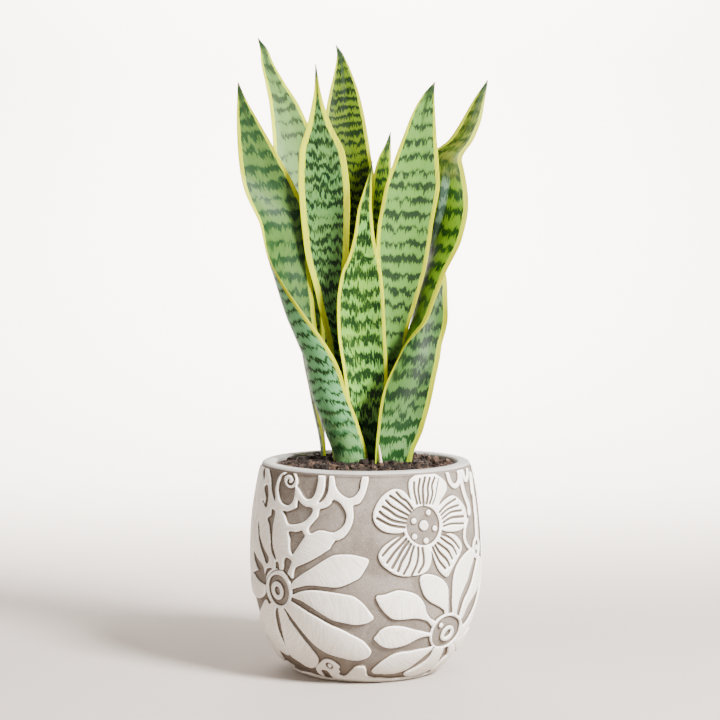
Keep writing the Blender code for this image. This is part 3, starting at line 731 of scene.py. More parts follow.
# Relief of the pot: degrees from the front, millimetres up the wall from its foot.
RELIEF: tuple[Motif, ...] = (
    raised(
        0, -88, 176, -60, 176, -30, 176, -3.2, 176, 1.1, 169.7, 0.3, 161.7, -1.2, 155.9, -3.4, 151, -6.4,
        149.4, -6.5, 147.2, -6.2, 142, -6.8, 136.8, -8.5, 131.5, -10.5, 127.7, -12.3, 125.5, -15, 124.6,
        -19.5, 122.8, -27.3, 116.9, -34.7, 107.2, -38.7, 100.7, -46.6, 97, -57, 94.3, -66, 96, -78, 92, -90,
        98, -92, 130,
    ),
    sunk(
        0, -65, 172.8, -45.6, 176, -49.1, 170.1, -51.5, 168, -53.3, 164.2, -53.9, 159.9, -53.8, 155.7, -52.9,
        151.7, -52.8, 148, -55.3, 151.3, -58.1, 156.9, -60.6, 163.7,
    ),
    sunk(
        0, -43, 176, -26.1, 176, -26, 169.5, -25.8, 164.8, -26.5, 158.3, -28.1, 153.8, -30.9, 152.4, -33.6,
        154.4, -36.7, 159.1, -38.3, 160.6, -37.8, 163.7, -38.5, 166.6, -40.1, 169.7,
    ),
    sunk(
        0, -22.1, 176, -20.2, 176, -19.6, 161.1, -20.6, 155.8, -22.2, 152.2, -24.6, 150.6, -23, 154.5, -21.8,
        159.2, -21.5, 164.5,
    ),
    sunk(
        0, -16.5, 176, -2.6, 176, -2.9, 165.7, -3.5, 160.5, -5.2, 157, -7.2, 155, -9.7, 154.9, -12.8, 157.4,
        -15.1, 161.3, -16.2, 165.4,
    ),
    sunk(
        0, -36.4, 151.2, -34.2, 148.8, -31.3, 147.1, -28.9, 147, -27.4, 145.7, -27.7, 143, -29.2, 140, -31.7,
        136.8, -35.5, 134.5, -40.7, 133.6, -42.6, 136, -44.3, 139.9, -46.1, 142.3, -42.5, 142.5, -38.8,
        144.5, -36.8, 146.2, -36.9, 148.5,
    ),
    sunk(
        0, -16.9, 152.8, -14.3, 152.1, -12.1, 149.3, -10.4, 145.3, -9.8, 141.3, -10.6, 136.7, -12.6, 133.1,
        -15.5, 130.6, -18, 130.5, -21.4, 131.4, -24.5, 130.8, -27.3, 128.8, -28.8, 130.1, -28.7, 133, -26.1,
        137.4, -24.2, 141, -23.5, 145.7, -20.7, 147.1, -18.1, 149.6,
    ),
    sunk(
        0, -40.7, 128.4, -36.2, 128.7, -33, 130.1, -31.8, 128.3, -31, 126.1, -33, 122.1, -35.3, 117.1, -37.5,
        113, -38.9, 114.2, -39.7, 118.2, -39.7, 122.9,
    ),
    sunk(0, -42, 109.9, -38.5, 107.8, -39.3, 103.6, -40.9, 98, -43.9, 99.5, -43.4, 103.5, -43.4, 107),
    sunk(0, -49.4, 105.4, -47.2, 105.2, -46.7, 100.8, -49.1, 100.4),
    sunk(
        0, -55, 142.4, -51.5, 140.6, -52.1, 134, -52.5, 125, -51.6, 116.3, -49.1, 108.4, -50.4, 107.6, -53.3,
        113, -54.4, 121.7, -56.2, 130.3, -58.4, 135, -55.5, 137.6, -55.1, 140.6,
    ),
    sunk(
        0.7, -69.1, 130.9, -66.6, 127.1, -65.3, 120.8, -60.4, 113.4, -55.3, 106.9, -57.3, 103.4, -60.3,
        108.6, -64.4, 115, -67.4, 122.1,
    ),
    sunk(
        0.7, -64.2, 157.7, -61.8, 156.9, -59.8, 150.6, -59.9, 144.6, -61.2, 142.9, -62.1, 144.8, -62.4,
        150.2, -65.7, 155.6,
    ),
    sunk(0.7, -73.2, 167.3, -71.6, 168.8, -68.8, 165.5, -68.1, 162, -69.9, 162.9),
    sunk(0, -56.9, 99.1, -52.8, 100.3, -52.3, 98.6, -55.8, 95.2, -57.9, 89.6, -58.6, 94.5),
    sunk(
        0, -49.4, 168, -51, 165.7, -51.7, 161.4, -51.3, 156.1, -48.9, 149.9, -46, 147.3, -42.7, 146.8, -40.3,
        149, -39.3, 152.3, -39.1, 157.1, -39.5, 160.3, -40.9, 159.3, -43.3, 159, -46, 160.7, -47.6, 163.7,
        -47.9, 165.8,
    ),
    groove(
        1.85, -48.4, 166.9, -46.5, 168.8, -43.6, 168.9, -41.3, 166.9, -40.7, 164.3, -41.9, 162.1, -43.7,
        161.7, -45.1, 163.1, -44.6, 164.7,
    ),
    sunk(
        0.7, -74.1, 108.7, -70.8, 106.6, -66.3, 103.4, -61.5, 100.8, -59.6, 98.1, -59.4, 93.5, -57.5, 88.7,
        -58.7, 87.9, -61, 91.6, -64.1, 95.1, -69, 99.2, -72.7, 103.5,
    ),
    groove(1.19, -82.6, 169.1, -80.1, 162, -75.9, 152.1, -74, 139.8, -74.2, 133.5),
    groove(1.45, -70.6, 167.3, -68.9, 162.3, -68.3, 157.1, -69.1, 152.3),
    groove(1.19, -66.3, 146.2, -64.3, 145.8, -62.6, 143.5),
    sunk(
        0, -37.7, 96.7, -37.1, 99.5, -35.7, 103.2, -31.8, 105.8, -27.6, 108.6, -22.8, 112.8, -19.5, 116.3,
        -17, 119, -13.7, 124.4, -8.9, 126.9, -4.1, 116, -12.8, 115.7, -16.5, 114.6, -21.1, 110.8, -27.2,
        104.9, -32.3, 100.2, -37.8, 94,
    ),
    raised(
        0, -27.3, 128.5, -23.6, 130.7, -19.7, 130.4, -16.3, 129.1, -15.2, 126.6, -15.4, 124, -17, 120.7,
        -17.4, 118.9, -19.9, 116.4, -22.8, 113.5, -27.7, 109.3, -31.8, 106.4, -35.7, 103.8, -37.2, 99.8,
        -37.7, 95.5, -41.1, 97.9, -39.5, 103.5, -38.2, 107.9, -37.5, 113, -34.9, 118.3, -31, 126.1, -29.4,
        127.7,
    ),
    raised(
        0, -40.1, 87, -37.8, 93.3, -32.3, 99.3, -27.2, 104, -21.1, 109.9, -16.1, 114.1, -11.6, 115.2, -6.8,
        115.1, -2.9, 114, 0.3, 112.6, 1.2, 111, 0.6, 108.1, -0.9, 104.1, -3.3, 98.8, -7.6, 95.2, -11.6, 92.6,
        -14.9, 91.7, -20.3, 91.9, -27.7, 92, -32.9, 90.4, -38, 87.9,
    ),
    raised(
        0, -40.4, 82.7, -37.1, 84.5, -33, 87, -27.3, 88.7, -22.9, 88.8, -17, 88.2, -11.7, 87.3, -6.9, 86.2,
        -4.1, 84, -0.9, 79.8, 1.5, 75, 3.6, 70.1, 1.5, 66.9, -1.8, 65.3, -5.9, 64.8, -10.9, 66, -16.4, 67.5,
        -21.8, 71.3, -28.3, 76.7, -33.3, 80.2, -37.3, 81.4,
    ),
    raised(
        0, -42.9, 79.2, -38, 78.2, -30.9, 73.3, -24.2, 68.6, -17.8, 63.9, -12.4, 60.8, -6.5, 56.5, -1.9,
        52.7, 0.3, 49.3, 2.7, 43.7, 1.1, 38.6, -3.6, 35.8, -8.3, 35.7, -15.3, 37.9, -22.4, 40.8, -29, 47,
        -34, 55, -38.2, 62.7, -41.8, 68.9, -44.6, 74,
    ),
    raised(
        0, -48.8, 75, -44.7, 70.8, -42.4, 64.4, -38.1, 56.2, -34.1, 48.2, -31.1, 41.7, -29.2, 36.9, -29.5,
        32.1, -32.2, 27.4, -36, 24.3, -40.7, 24.6, -44.7, 28.1, -49.1, 31.1, -51, 33.3, -51.8, 39.5, -50.4,
        50.3, -49.5, 63.5, -49.7, 70.4,
    ),
    raised(
        0, -50.1, 75.3, -56.2, 74, -64.4, 67, -68.3, 60.9, -69.4, 56.7, -69.4, 50.8, -67.6, 44.5, -63.8,
        38.5, -58.8, 34, -53, 32.8, -52.2, 38.7, -52.6, 46.4, -53.5, 54.2, -53.1, 63.4, -52.5, 68.6,
    ),
    raised(0, -58, 86, -66, 88, -76, 92, -88, 90, -92, 84, -84, 76, -72, 74, -62, 78),
    raised(0, -60, 76, -66, 70, -76, 60, -86, 48, -92, 42, -90, 38, -80, 40, -70, 50, -62, 62, -58, 70),
    raised(0, -60, 72, -66, 60, -72, 44, -78, 30, -76, 22, -68, 24, -62, 38, -58, 56),
    boss(14.7, -48.4, 86.2),
    dimple(11.2, -48.1, 85.3),
    boss(6.7, -48.8, 84.9),
    dimple(3.1, -48.7, 84.8),
    groove(0.66, -59.3, 82.5, -57.2, 90.8, -53.2, 96.8, -48.4, 99.8, -44.2, 100, -40.9, 97.9, -37.8, 93.9),
    raised(
        0, -33.8, 24.8, -30.9, 28.5, -27, 33.3, -23.8, 35.4, -20.3, 34.6, -17.7, 31.7, -16.3, 28.5, -17.6,
        25.6, -17.1, 22.7, -18.7, 19.3, -15.9, 17.2, -13.1, 19.4, -9.6, 24.9, -6.7, 29.2, -3.6, 30.1, -1.1,
        29.7, -0.1, 26.2, 0.2, 21.2, 2.2, 17.6, 5.9, 14.7, 7.6, 10.9, -7.9, 9.5, -24.6, 10.6, -33.4, 16.9,
    ),
    dimple(3.4, -23, 28.9),
    boss(2, -22.7, 29),
    sunk(0, -30.5, 22.6, -27.3, 23.9, -25.4, 22, -25.1, 17.6, -24.4, 12.6, -30.5, 11.7, -31.2, 18.7),
    raised(
        0, 30.1, 142.8, 24.4, 149.1, 22.8, 153.9, 22.1, 161, 22.7, 166.2, 25.3, 168.9, 29.4, 170.7, 34.7,
        170.8, 39.1, 169.8, 42.8, 166.7, 45.4, 163.4, 45.9, 158.6, 43.4, 154.2, 40, 149.9, 37.9, 145.4,
    ),
    raised(
        0, 34.7, 136.5, 37.9, 144.9, 39.7, 147.6, 44.2, 151.1, 48.9, 153, 52.3, 151.8, 55.5, 148.6, 58.2,
        144.9, 59.9, 139.8, 59.5, 133.9, 56.4, 129.1, 51.5, 127.3, 45.1, 127.7, 40.1, 129.6,
    ),
    raised(
        0, 32.8, 127.9, 39.4, 126.5, 45, 126.5, 49.3, 124.4, 52.4, 120.3, 53.7, 115.9, 52.4, 111.4, 49.3,
        106.6, 46.2, 101.8, 44.1, 98, 42.4, 95.9, 39.9, 97.5, 36.8, 102.2, 34.8, 108.4, 33.4, 114.4, 31.6,
        118.7,
    ),
    raised(
        0, 25.9, 131.6, 18, 128.7, 13, 125.6, 8.9, 121.7, 6.7, 118.3, 5.7, 113.7, 7.2, 108.4, 10.4, 104.2,
        13.6, 101.1, 17.7, 99.4, 22.8, 99.2, 27.7, 100.2, 30.9, 103, 32.6, 108.1, 32.9, 113.3, 31.8, 118.7,
    ),
    raised(
        0, 23.8, 134.7, 17.4, 130.2, 13, 129.9, 8.6, 131.2, 5.4, 134.5, 3.6, 138.6, 3.2, 143.2, 4.5, 148.9,
        6.8, 154.1, 9.9, 158.1, 13.8, 160.7, 17.3, 160.4, 19.9, 158.2, 22.3, 153.4, 24.4, 148.6,
    ),
    boss(16.2, 29.1, 134.1),
    dimple(13.8, 29.1, 134.1),
    groove(1.72, 25.4, 164.8, 25, 159, 25.6, 153.7, 26.1, 149.6),
    groove(1.72, 29, 166.9, 27.5, 160.5, 27.4, 155.9, 27.9, 149.7),
    groove(2.11, 32.2, 167.5, 30.3, 161.5, 29.8, 155.7, 29.8, 149.2),
    groove(1.98, 35.1, 166.9, 33.2, 161.2, 32.8, 155.4, 31.5, 149.4),
    groove(1.72, 38.4, 166.9, 35.8, 161.5, 35.6, 155.7, 33.4, 149.2),
    groove(1.06, 40.9, 166, 38.8, 159.4, 37.3, 153.7, 35, 148.4),
    groove(1.72, 15.3, 158.4, 17.9, 154.2, 20.5, 151.8, 23.3, 146.3),
    groove(1.85, 11.9, 156, 14.8, 153.2, 18.6, 149, 22.2, 144.4),
    groove(1.72, 9.8, 152.9, 12.2, 149.3, 16.3, 145.6, 20.9, 141.9),
    groove(1.98, 8, 148.6, 11.2, 145.9, 14.9, 141.9, 19.8, 139.3),
    groove(1.98, 6.5, 145.1, 9.1, 141.9, 13.2, 138.6, 19.3, 136.6),
    groove(1.85, 5.2, 140.6, 8.6, 137.9, 12.3, 135.4, 18.7, 133.7),
    groove(1.72, 7.7, 114.5, 10.9, 119.9, 14.6, 124.3, 18.3, 128.4),
    groove(1.85, 9.8, 109.5, 12.9, 115.7, 15.8, 120.2, 19.3, 125.5),
    groove(2.11, 12.4, 105.9, 14.9, 112.1, 17.4, 118.3, 20.5, 123.6),
    groove(2.11, 15.2, 103.4, 16.9, 109.7, 19.5, 115.9, 21.7, 121.5),
    groove(1.72, 18, 101.1, 20.7, 108.2, 22, 115.1, 23.3, 119.9),
    groove(1.72, 22, 99.9, 24.6, 107.2, 25.5, 113.6, 25.5, 119.1),
    groove(1.98, 25.7, 101.6, 28.2, 106.9, 28.4, 112.1, 27.8, 118.3),
    groove(1.85, 41.3, 102.1, 37.8, 107.3, 35.4, 113, 33.7, 118.2),
    groove(1.98, 44.1, 103.7, 42.1, 108.4, 37.9, 113.8, 35.2, 119.4),
    groove(1.85, 46.1, 108.3, 43.4, 114.1, 39.6, 118.2, 36.6, 121),
    groove(1.72, 49.4, 111, 46.4, 117.2, 42.4, 120.8, 38.8, 124.5),
    groove(1.72, 51.8, 114.4, 47.8, 120.5, 43.7, 124.4, 39.6, 126.6),
    groove(1.58, 39, 142.4, 44.3, 147, 51.8, 150),
    groove(1.58, 39.9, 140.2, 45.2, 143.9, 53.8, 145.3),
    groove(1.58, 40.6, 137.6, 46.8, 141.3, 55.9, 141.2),
    groove(1.72, 40.9, 134.8, 47, 137.4, 57.3, 136.7),
    groove(1.45, 41, 132.2, 46.7, 133.1, 56.7, 131.7),
    boss(3.7, 29.2, 134.2),
    boss(2.1, 23.8, 137.8),
    boss(2.1, 32.2, 142.9),
    boss(2.1, 35.5, 131.4),
    boss(2.1, 30.1, 123.4),
    boss(2.1, 23.8, 126.8),
    ridge(3.6, 48.9, 176, 48.5, 167.8, 49.5, 162.3, 52.5, 159.2, 56.4, 160.7, 58.7, 165.8, 59.1, 176),
    ridge(4.2, 61.5, 176, 60.4, 163.8, 60.3, 156.5, 61.6, 150.3, 63.7, 143.9, 63.5, 137.9),
    ridge(3.6, 64.7, 176, 63.9, 166.3, 65.6, 161.7, 69.3, 164.2, 72, 171.8),
    ridge(6.5, 75.7, 163.2, 73.1, 154.4, 73.1, 144.6, 72.8, 136.2, 72.2, 127.2, 71.9, 120.6),
    groove(1.58, 73.6, 158.6, 71.8, 149.7, 70.4, 140.3, 70.1, 131.9),
    ridge(2.6, 60.4, 133.7, 57.6, 128.3, 56.6, 121.3, 59.2, 115.4, 64.2, 110.8),
    boss(8.2, 70.7, 111.8),
    dimple(5, 70.7, 111.8),
    boss(2.2, 70.7, 111.5),
    raised(
        0, 43.1, 68.7, 41.8, 72, 37.3, 75.9, 33, 79.1, 29.4, 83.8, 27.4, 89.5, 26.4, 94.9, 26.8, 98.4, 29.5,
        99.9, 33.3, 99, 37.8, 96.3, 41.1, 92.8, 43.3, 88.2, 44.1, 82, 44.7, 75.2, 45.6, 68.2, 44.7, 66.5,
    ),
    raised(
        0, 39.5, 62.4, 38.1, 63.9, 34, 67.2, 31, 72.6, 29.7, 77.7, 27.1, 82.9, 23.9, 86.6, 19.5, 88.8, 15.8,
        89.7, 12.9, 89, 8.9, 87.1, 5.3, 86.4, 4.5, 84.9, 5.1, 82.2, 7, 77.3, 9.5, 72.9, 12.5, 69.3, 15.5,
        68.2, 20.3, 68.1, 24.8, 68.2, 28.6, 67, 32.3, 64.9, 36.6, 59.7,
    ),
    raised(
        0, 37.5, 54.3, 30.7, 57.5, 25, 59.9, 20.7, 62, 16.6, 63.4, 13.2, 63.6, 9.8, 62.9, 6.9, 60.4, 5.3,
        57.2, 3.8, 54.3, 4.5, 52.6, 6.8, 49.2, 10.1, 46.6, 13.3, 45.8, 17, 46.4, 22, 48, 26.1, 50.9, 30.3,
        52.9, 36.6, 53.2,
    ),
    raised(
        0, 39.7, 45.1, 37.6, 43.7, 31, 43.2, 24.8, 42.3, 18.9, 42, 14.3, 39.8, 10.3, 35.9, 6.7, 31.3, 3.4,
        25.2, 5.2, 22.1, 10.2, 21.3, 15.4, 20.8, 21, 21.7, 26.6, 24.8, 30.9, 30.2, 35.1, 35.8, 39.4, 41.6,
    ),
    raised(
        0, 41.4, 43.3, 40.2, 35.5, 37.6, 30.5, 33.5, 26.2, 29.6, 23.2, 26.7, 20.7, 26.8, 17.2, 34, 14, 41.4,
        14.5, 47.4, 17.6, 51.3, 23.6, 50.4, 32.3, 48.8, 41.7,
    ),
    raised(
        0, 53.4, 42, 57.2, 32.9, 54.6, 28.8, 52.4, 22.4, 52.1, 16.6, 60.6, 15.3, 65.2, 21.2, 65.7, 28.8,
        67.8, 32.9, 57.1, 43.1,
    ),
    raised(0, 56.9, 45.3, 64.7, 46, 78.6, 50.2, 79.6, 45.9, 78.2, 42.2, 78, 37, 73.3, 30.9, 63.3, 37.9),
    raised(
        0, 49.5, 66.7, 47.3, 76.5, 46.8, 83.9, 46.9, 94.6, 49.3, 102.4, 53.4, 107.6, 59, 111.3, 63.7, 111.5,
        66.3, 107.3, 64.6, 102.3, 61.6, 96.9, 59.2, 90.8, 55.7, 84.5, 52.9, 77.2, 52.2, 70.5, 52.1, 66.1,
    ),
    raised(
        0, 55.6, 64.1, 57.1, 75, 60.4, 81, 64.3, 88, 67, 94.7, 70.7, 101.7, 74.1, 105.2, 82.4, 99.5, 83.3,
        91.9, 81.9, 85.5, 74.1, 80.1, 66.9, 75.1, 61.9, 70.1, 58.8, 62,
    ),
    raised(0, 60, 54, 66, 58, 76, 70, 84, 86, 90, 98, 92, 92, 88, 76, 80, 60, 70, 48, 62, 46),
    raised(
        0, 35.3, 52.7, 35.4, 57.4, 36.3, 61.7, 38.4, 65.8, 42, 68.2, 47.5, 68.7, 52.7, 66.6, 57.4, 62.4,
        61.2, 56.9, 63.6, 50.4, 61.7, 45.4, 57.6, 42.3, 51.6, 40.6, 45.5, 41, 40.2, 43.2, 36.9, 47.7,
    ),
    sunk(
        0, 37.3, 50.4, 36.7, 55.1, 37.6, 60.2, 39.8, 64.3, 43.5, 66.4, 47.9, 66.3, 52.5, 64.1, 56.9, 59.9,
        58.8, 54.9, 58.9, 49.6, 55.9, 45.6, 51.4, 42.8, 45.7, 42.4, 41.2, 44.1, 38.6, 47.1,
    ),
    raised(
        0, 43.5, 50.5, 43.6, 55.1, 45.7, 58.3, 48.8, 58.9, 51.8, 57.2, 53.5, 53.6, 53.2, 49.6, 51.1, 47.1,
        47.6, 46.7, 44.8, 48.2,
    ),
    sunk(0, 45.8, 51.3, 46.4, 54.2, 48.3, 55.8, 50.3, 55, 50.7, 52.6, 49.1, 50.6, 46.9, 50.1),
    boss(2, 41.9, 60.3),
)


@dataclass
class ReliefField:
    """Distance to the relief's outline over the pot's wall, repeated every half turn."""

    motifs: Sequence[Motif]
    radius: float = 84.5
    reach: float = 4.0
    top: float = 169.9
    turn: float = 180.0
    foot_band: float = 13.0

    def _distance(self, spots: np.ndarray, motif: Motif) -> np.ndarray:
        """Measures how far inside a motif each spot is.

        Args:
            spots: places as millimetres round and up.
            motif: the motif.

        Returns:
            Millimetres inside the motif; negative outside.
        """
        scale = math.radians(1.0) * self.radius
        line = np.array(motif.points, float) * (scale, 1.0)
        if motif.drawing is Drawing.DISC:
            return motif.width - np.hypot(*(spots - line[0]).T)
        closed = motif.drawing is Drawing.OUTLINE
        line = rounded(line, closed)
        ends = np.roll(line, -1, axis=0) if closed else line[1:]
        starts = line if closed else line[:-1]
        run = ends - starts
        share = np.einsum("ijk,jk->ij", spots[:, None] - starts[None], run)
        share = share / np.maximum((run**2).sum(1), 1e-9)
        near = starts[None] + np.clip(share, 0, 1)[..., None] * run[None]
        gap = np.sqrt(((spots[:, None] - near) ** 2).sum(2)).min(1)
        if not closed:
            return motif.width * 0.5 - gap
        x, y = spots[:, :1], spots[:, 1:]
        crosses = (starts[None, :, 1] > y) != (ends[None, :, 1] > y)
        slope = run[:, 0] / np.where(np.abs(run[:, 1]) < 1e-9, 1e-9, run[:, 1])
        meets = starts[None, :, 0] + (y - starts[None, :, 1]) * slope[None]
        inside = (crosses & (x < meets)).sum(1) % 2 == 1
        return np.where(inside, gap, -gap) + motif.width

    def sample(self, degrees: np.ndarray, heights: np.ndarray) -> np.ndarray:
        """Fills a grid with the distance.

        Args:
            degrees: columns, covering one half turn.
            heights: rows, millimetres up the wall.

        Returns:
            One value for each row and column, positive on the relief.
        """
        scale = math.radians(1.0) * self.radius
        result = np.full((len(heights), len(degrees)), -self.reach)
        foot = self.foot_band + 1.6 * np.sin(np.radians(degrees * 6 + 40))
        foot = foot + 0.9 * np.sin(np.radians(degrees * 14))
        result = np.maximum(result, foot[None] - heights[:, None])
        for motif in self.motifs:
            line = np.array(motif.points, float)
            spare = self.reach + motif.width + 2.0
            rows = np.where((heights > line[:, 1].min() - spare) & (heights < line[:, 1].max() + spare))[0]
            for shift in (-self.turn, 0.0, self.turn):
                moved = degrees + shift
                low, high = line[:, 0].min() - spare / scale, line[:, 0].max() + spare / scale
                columns = np.where((moved > low) & (moved < high))[0]
                if not len(rows) or not len(columns):
                    continue
                grid = np.stack(np.meshgrid(moved[columns] * scale, heights[rows]), axis=-1).reshape(-1, 2)
                depth = self._distance(grid, motif).reshape(len(rows), len(columns))
                part = result[np.ix_(rows, columns)]
                if motif.cutting is Cutting.RAISED:
                    part = np.maximum(part, depth)
                else:
                    part = np.minimum(part, -depth)
                result[np.ix_(rows, columns)] = part
        result = np.minimum(result, (self.top - heights)[:, None])
        return np.clip(result, -self.reach, self.reach)


# Steps round the lip's outer edge, the mouth's edge and the hollow inside.
LIP_STEPS = 8
MOUTH_STEPS = 6
BOWL_STEPS = 11
# Rows of the lip that keep the wall's colour.
WALL_OVER_LIP = 2
DRAIN_SIDES = 28
# Relief distance stored where the pot has none.
NO_RELIEF = -1.0
BELLY_SAMPLES = 400
SHOULDER_SAMPLES = 300
# Hearts of the flowers, in degrees round the pot and millimetres up its wall.
FLOWER_HEARTS: Pairs = (
    (-48.0, 70.0), (47.0, 42.0), (132.0, 70.0), (-133.0, 42.0), (29.0, 117.0), (-151.0, 117.0),
)


@dataclass
class Pot:
    """The relief-cast pot. Sizes are in millimetres."""

    height: float = 154.5
    rim: float = 76.0
    belly: float = 84.5
    belly_height: float = 82.0
    foot: float = 43.0
    wall: float = 9.0
    floor: float = 12.0
    lip: float = 3.0
    mouth_round: float = 2.0
    shoulder_power: float = 2.2
    ground_drop: float = 0.85
    rise: float = 1.80
    flank_out: float = 0.55
    flank: float = 1.15
    swell: float = 0.06
    columns: int = 880
    rows: int = 292
    drains: int = 3
    drain_radius: float = 4.5
    relief: ReliefField = field(default_factory=lambda: ReliefField(RELIEF))

    def outside(self, z: np.ndarray) -> np.ndarray:
        """Gives the wall's radius at a height.

        Args:
            z: heights.

        Returns:
            Radii of the body without its relief.
        """
        lower = np.arccos(np.clip(1 - z / self.belly_height, -1, 1))
        low = self.foot + (self.belly - self.foot) * np.sin(np.minimum(lower, math.pi / 2))
        share = np.clip((z - self.belly_height) / (self.height - self.belly_height), 0, 1)
        high = self.belly - (self.belly - self.rim) * share**self.shoulder_power
        return np.where(z < self.belly_height, low, high)

    def skin(self) -> tuple[np.ndarray, np.ndarray]:
        """Walks up the outer wall in even steps.

        Returns:
            Rows of radius and height, and the distance of each row from the foot.
        """
        turn = np.linspace(0, math.pi / 2, BELLY_SAMPLES)
        low = np.stack([self.foot + (self.belly - self.foot) * np.sin(turn),
                        self.belly_height * (1 - np.cos(turn))], 1)
        z = np.linspace(self.belly_height, self.height, SHOULDER_SAMPLES)[1:]
        line = np.vstack([low, np.stack([self.outside(z), z], 1)])
        along = np.r_[0, np.cumsum(np.hypot(*np.diff(line, axis=0).T))]
        last = np.interp(self.height - self.lip, line[:, 1], along)
        steps = np.linspace(0.0, last, self.rows)
        return np.stack([np.interp(steps, along, line[:, 0]), np.interp(steps, along, line[:, 1])], 1), steps

    def inner_line(self) -> np.ndarray:
        """Lists the lip and the inner wall, from the outer edge down to the floor.

        Returns:
            Rows of radius and height.
        """
        outer = float(self.outside(np.array([self.height - self.lip]))[0])
        spots = []
        for step in range(1, LIP_STEPS + 1):
            turn = math.radians(90 * step / LIP_STEPS)
            spots.append((outer - self.lip * (1 - math.cos(turn)),
                          self.height - self.lip * (1 - math.sin(turn))))
        mouth = self.rim - self.wall
        spots.append(((outer + mouth) / 2, self.height))
        for step in range(MOUTH_STEPS + 1):
            turn = math.radians(90 * step / MOUTH_STEPS)
            spots.append((mouth + self.mouth_round * (1 - math.sin(turn)),
                          self.height - self.mouth_round * (1 - math.cos(turn))))
        for z in np.linspace(self.height - 8, self.belly_height, 8):
            spots.append((float(self.outside(np.array([z]))[0]) - self.wall, z))
        inner_foot = self.foot - 0.5 * self.wall
        for step in range(1, BOWL_STEPS + 1):
            turn = math.radians(90 * (1 - step / BOWL_STEPS))
            radius = inner_foot + (self.belly - self.wall - inner_foot) * math.sin(turn)
            spots.append((radius, self.floor + (self.belly_height - self.floor) * (1 - math.cos(turn))))
        return np.array(spots)

    def build(self) -> bpy.types.Object:
        """Builds the pot's mesh with the relief standing off its wall.

        Returns:
            The pot.
        """
        skin, steps = self.skin()
        half = self.columns // 2
        degrees = np.arange(half) * (180.0 / half) - 90.0
        depth = self.relief.sample(degrees, steps)
        depth = np.hstack([depth, depth])
        turns = np.radians(np.arange(self.columns) * (360.0 / self.columns) - 90.0)
        share = np.clip((depth + self.flank_out) / self.flank, 0, 1)
        height = share * share * (3 - 2 * share) * self.rise
        height += np.clip(depth, 0, self.relief.reach) * self.swell
        waver = np.sin(turns * 7)[None] * np.sin(steps * 0.11)[:, None] * 0.12
        fade = np.clip(steps / 1.5, 0, 1)[:, None] * np.clip((steps[-1] - steps) / 1.2, 0, 1)[:, None]
        radius = skin[:, :1] + (-self.ground_drop + height + waver) * fade
        outward, upward = np.gradient(skin[:, 0]), np.gradient(skin[:, 1])
        tilt = outward / np.maximum(np.hypot(outward, upward), 1e-6)
        z = skin[:, 1:] - tilt[:, None] * (-self.ground_drop + height) * fade
        z = np.maximum(z, 0.0)
        inner = self.inner_line()
        count = self.columns
        circle = np.stack([np.sin(turns), -np.cos(turns)], 1)
        outer_spots = np.stack([radius * circle[:, 0], radius * circle[:, 1],
                                np.broadcast_to(z, radius.shape)], 2)
        inner_spots = np.stack([inner[:, :1] * circle[:, 0], inner[:, :1] * circle[:, 1],
                                np.broadcast_to(inner[:, 1:], (len(inner), count))], 2)
        spots = np.concatenate([outer_spots.reshape(-1, 3), inner_spots.reshape(-1, 3)])
        total_rows = len(steps) + len(inner)
        lip_rows = LIP_STEPS + MOUTH_STEPS + 2
        bands = ((Zone.WALL, len(steps) + WALL_OVER_LIP), (Zone.LIP, lip_rows - WALL_OVER_LIP),
                 (Zone.INSIDE, len(inner) - lip_rows))
        zones = np.repeat([zone.value for zone, _ in bands], [rows * count for _, rows in bands])
        relief = np.concatenate([depth.reshape(-1), np.full(len(inner) * count, NO_RELIEF)])
        index = np.arange(total_rows * count).reshape(total_rows, count)
        quads = np.stack([index[:-1], np.roll(index[:-1], -1, 1), np.roll(index[1:], -1, 1), index[1:]], 2)
        faces = [tuple(quad) for quad in quads.reshape(-1, 4).tolist()]
        spots, zones, relief, faces = self._close_foot(spots, zones, relief, faces, index)
        mesh = meshed("pot_body", spots, faces)
        arc = np.degrees(np.arctan2(spots[:, 0], -spots[:, 1]))
        store(mesh, "relief", relief)
        store(mesh, "zone", zones)
        store(mesh, "up", spots[:, 2])
        self._store_brush(mesh, arc, spots[:, 2])
        mesh.shade_smooth()
        return put_in_scene("pot_body", mesh)

    def _store_brush(self, mesh: bpy.types.Mesh, arc: np.ndarray, z: np.ndarray) -> None:
        """Stores brush-stroke coordinates that fan out from the two daisies.

        Args:
            mesh: the pot's mesh.
            arc: degrees of each vertex round the pot.
            z: height of each vertex.
        """
        scale = math.radians(1.0) * self.relief.radius
        best = np.full(len(arc), 1e9)
        turned = np.zeros(len(arc))
        for centre, level in FLOWER_HEARTS:
            across = ((arc - centre + 180) % 360 - 180) * scale
            reach = np.hypot(across, z - level)
            turned = np.where(reach < best, np.arctan2(z - level, across) * 14.0, turned)
            best = np.minimum(best, reach)
        store(mesh, "brush_x", turned * 1.1 + best * 0.75)
        store(mesh, "brush_y", best * 0.14)

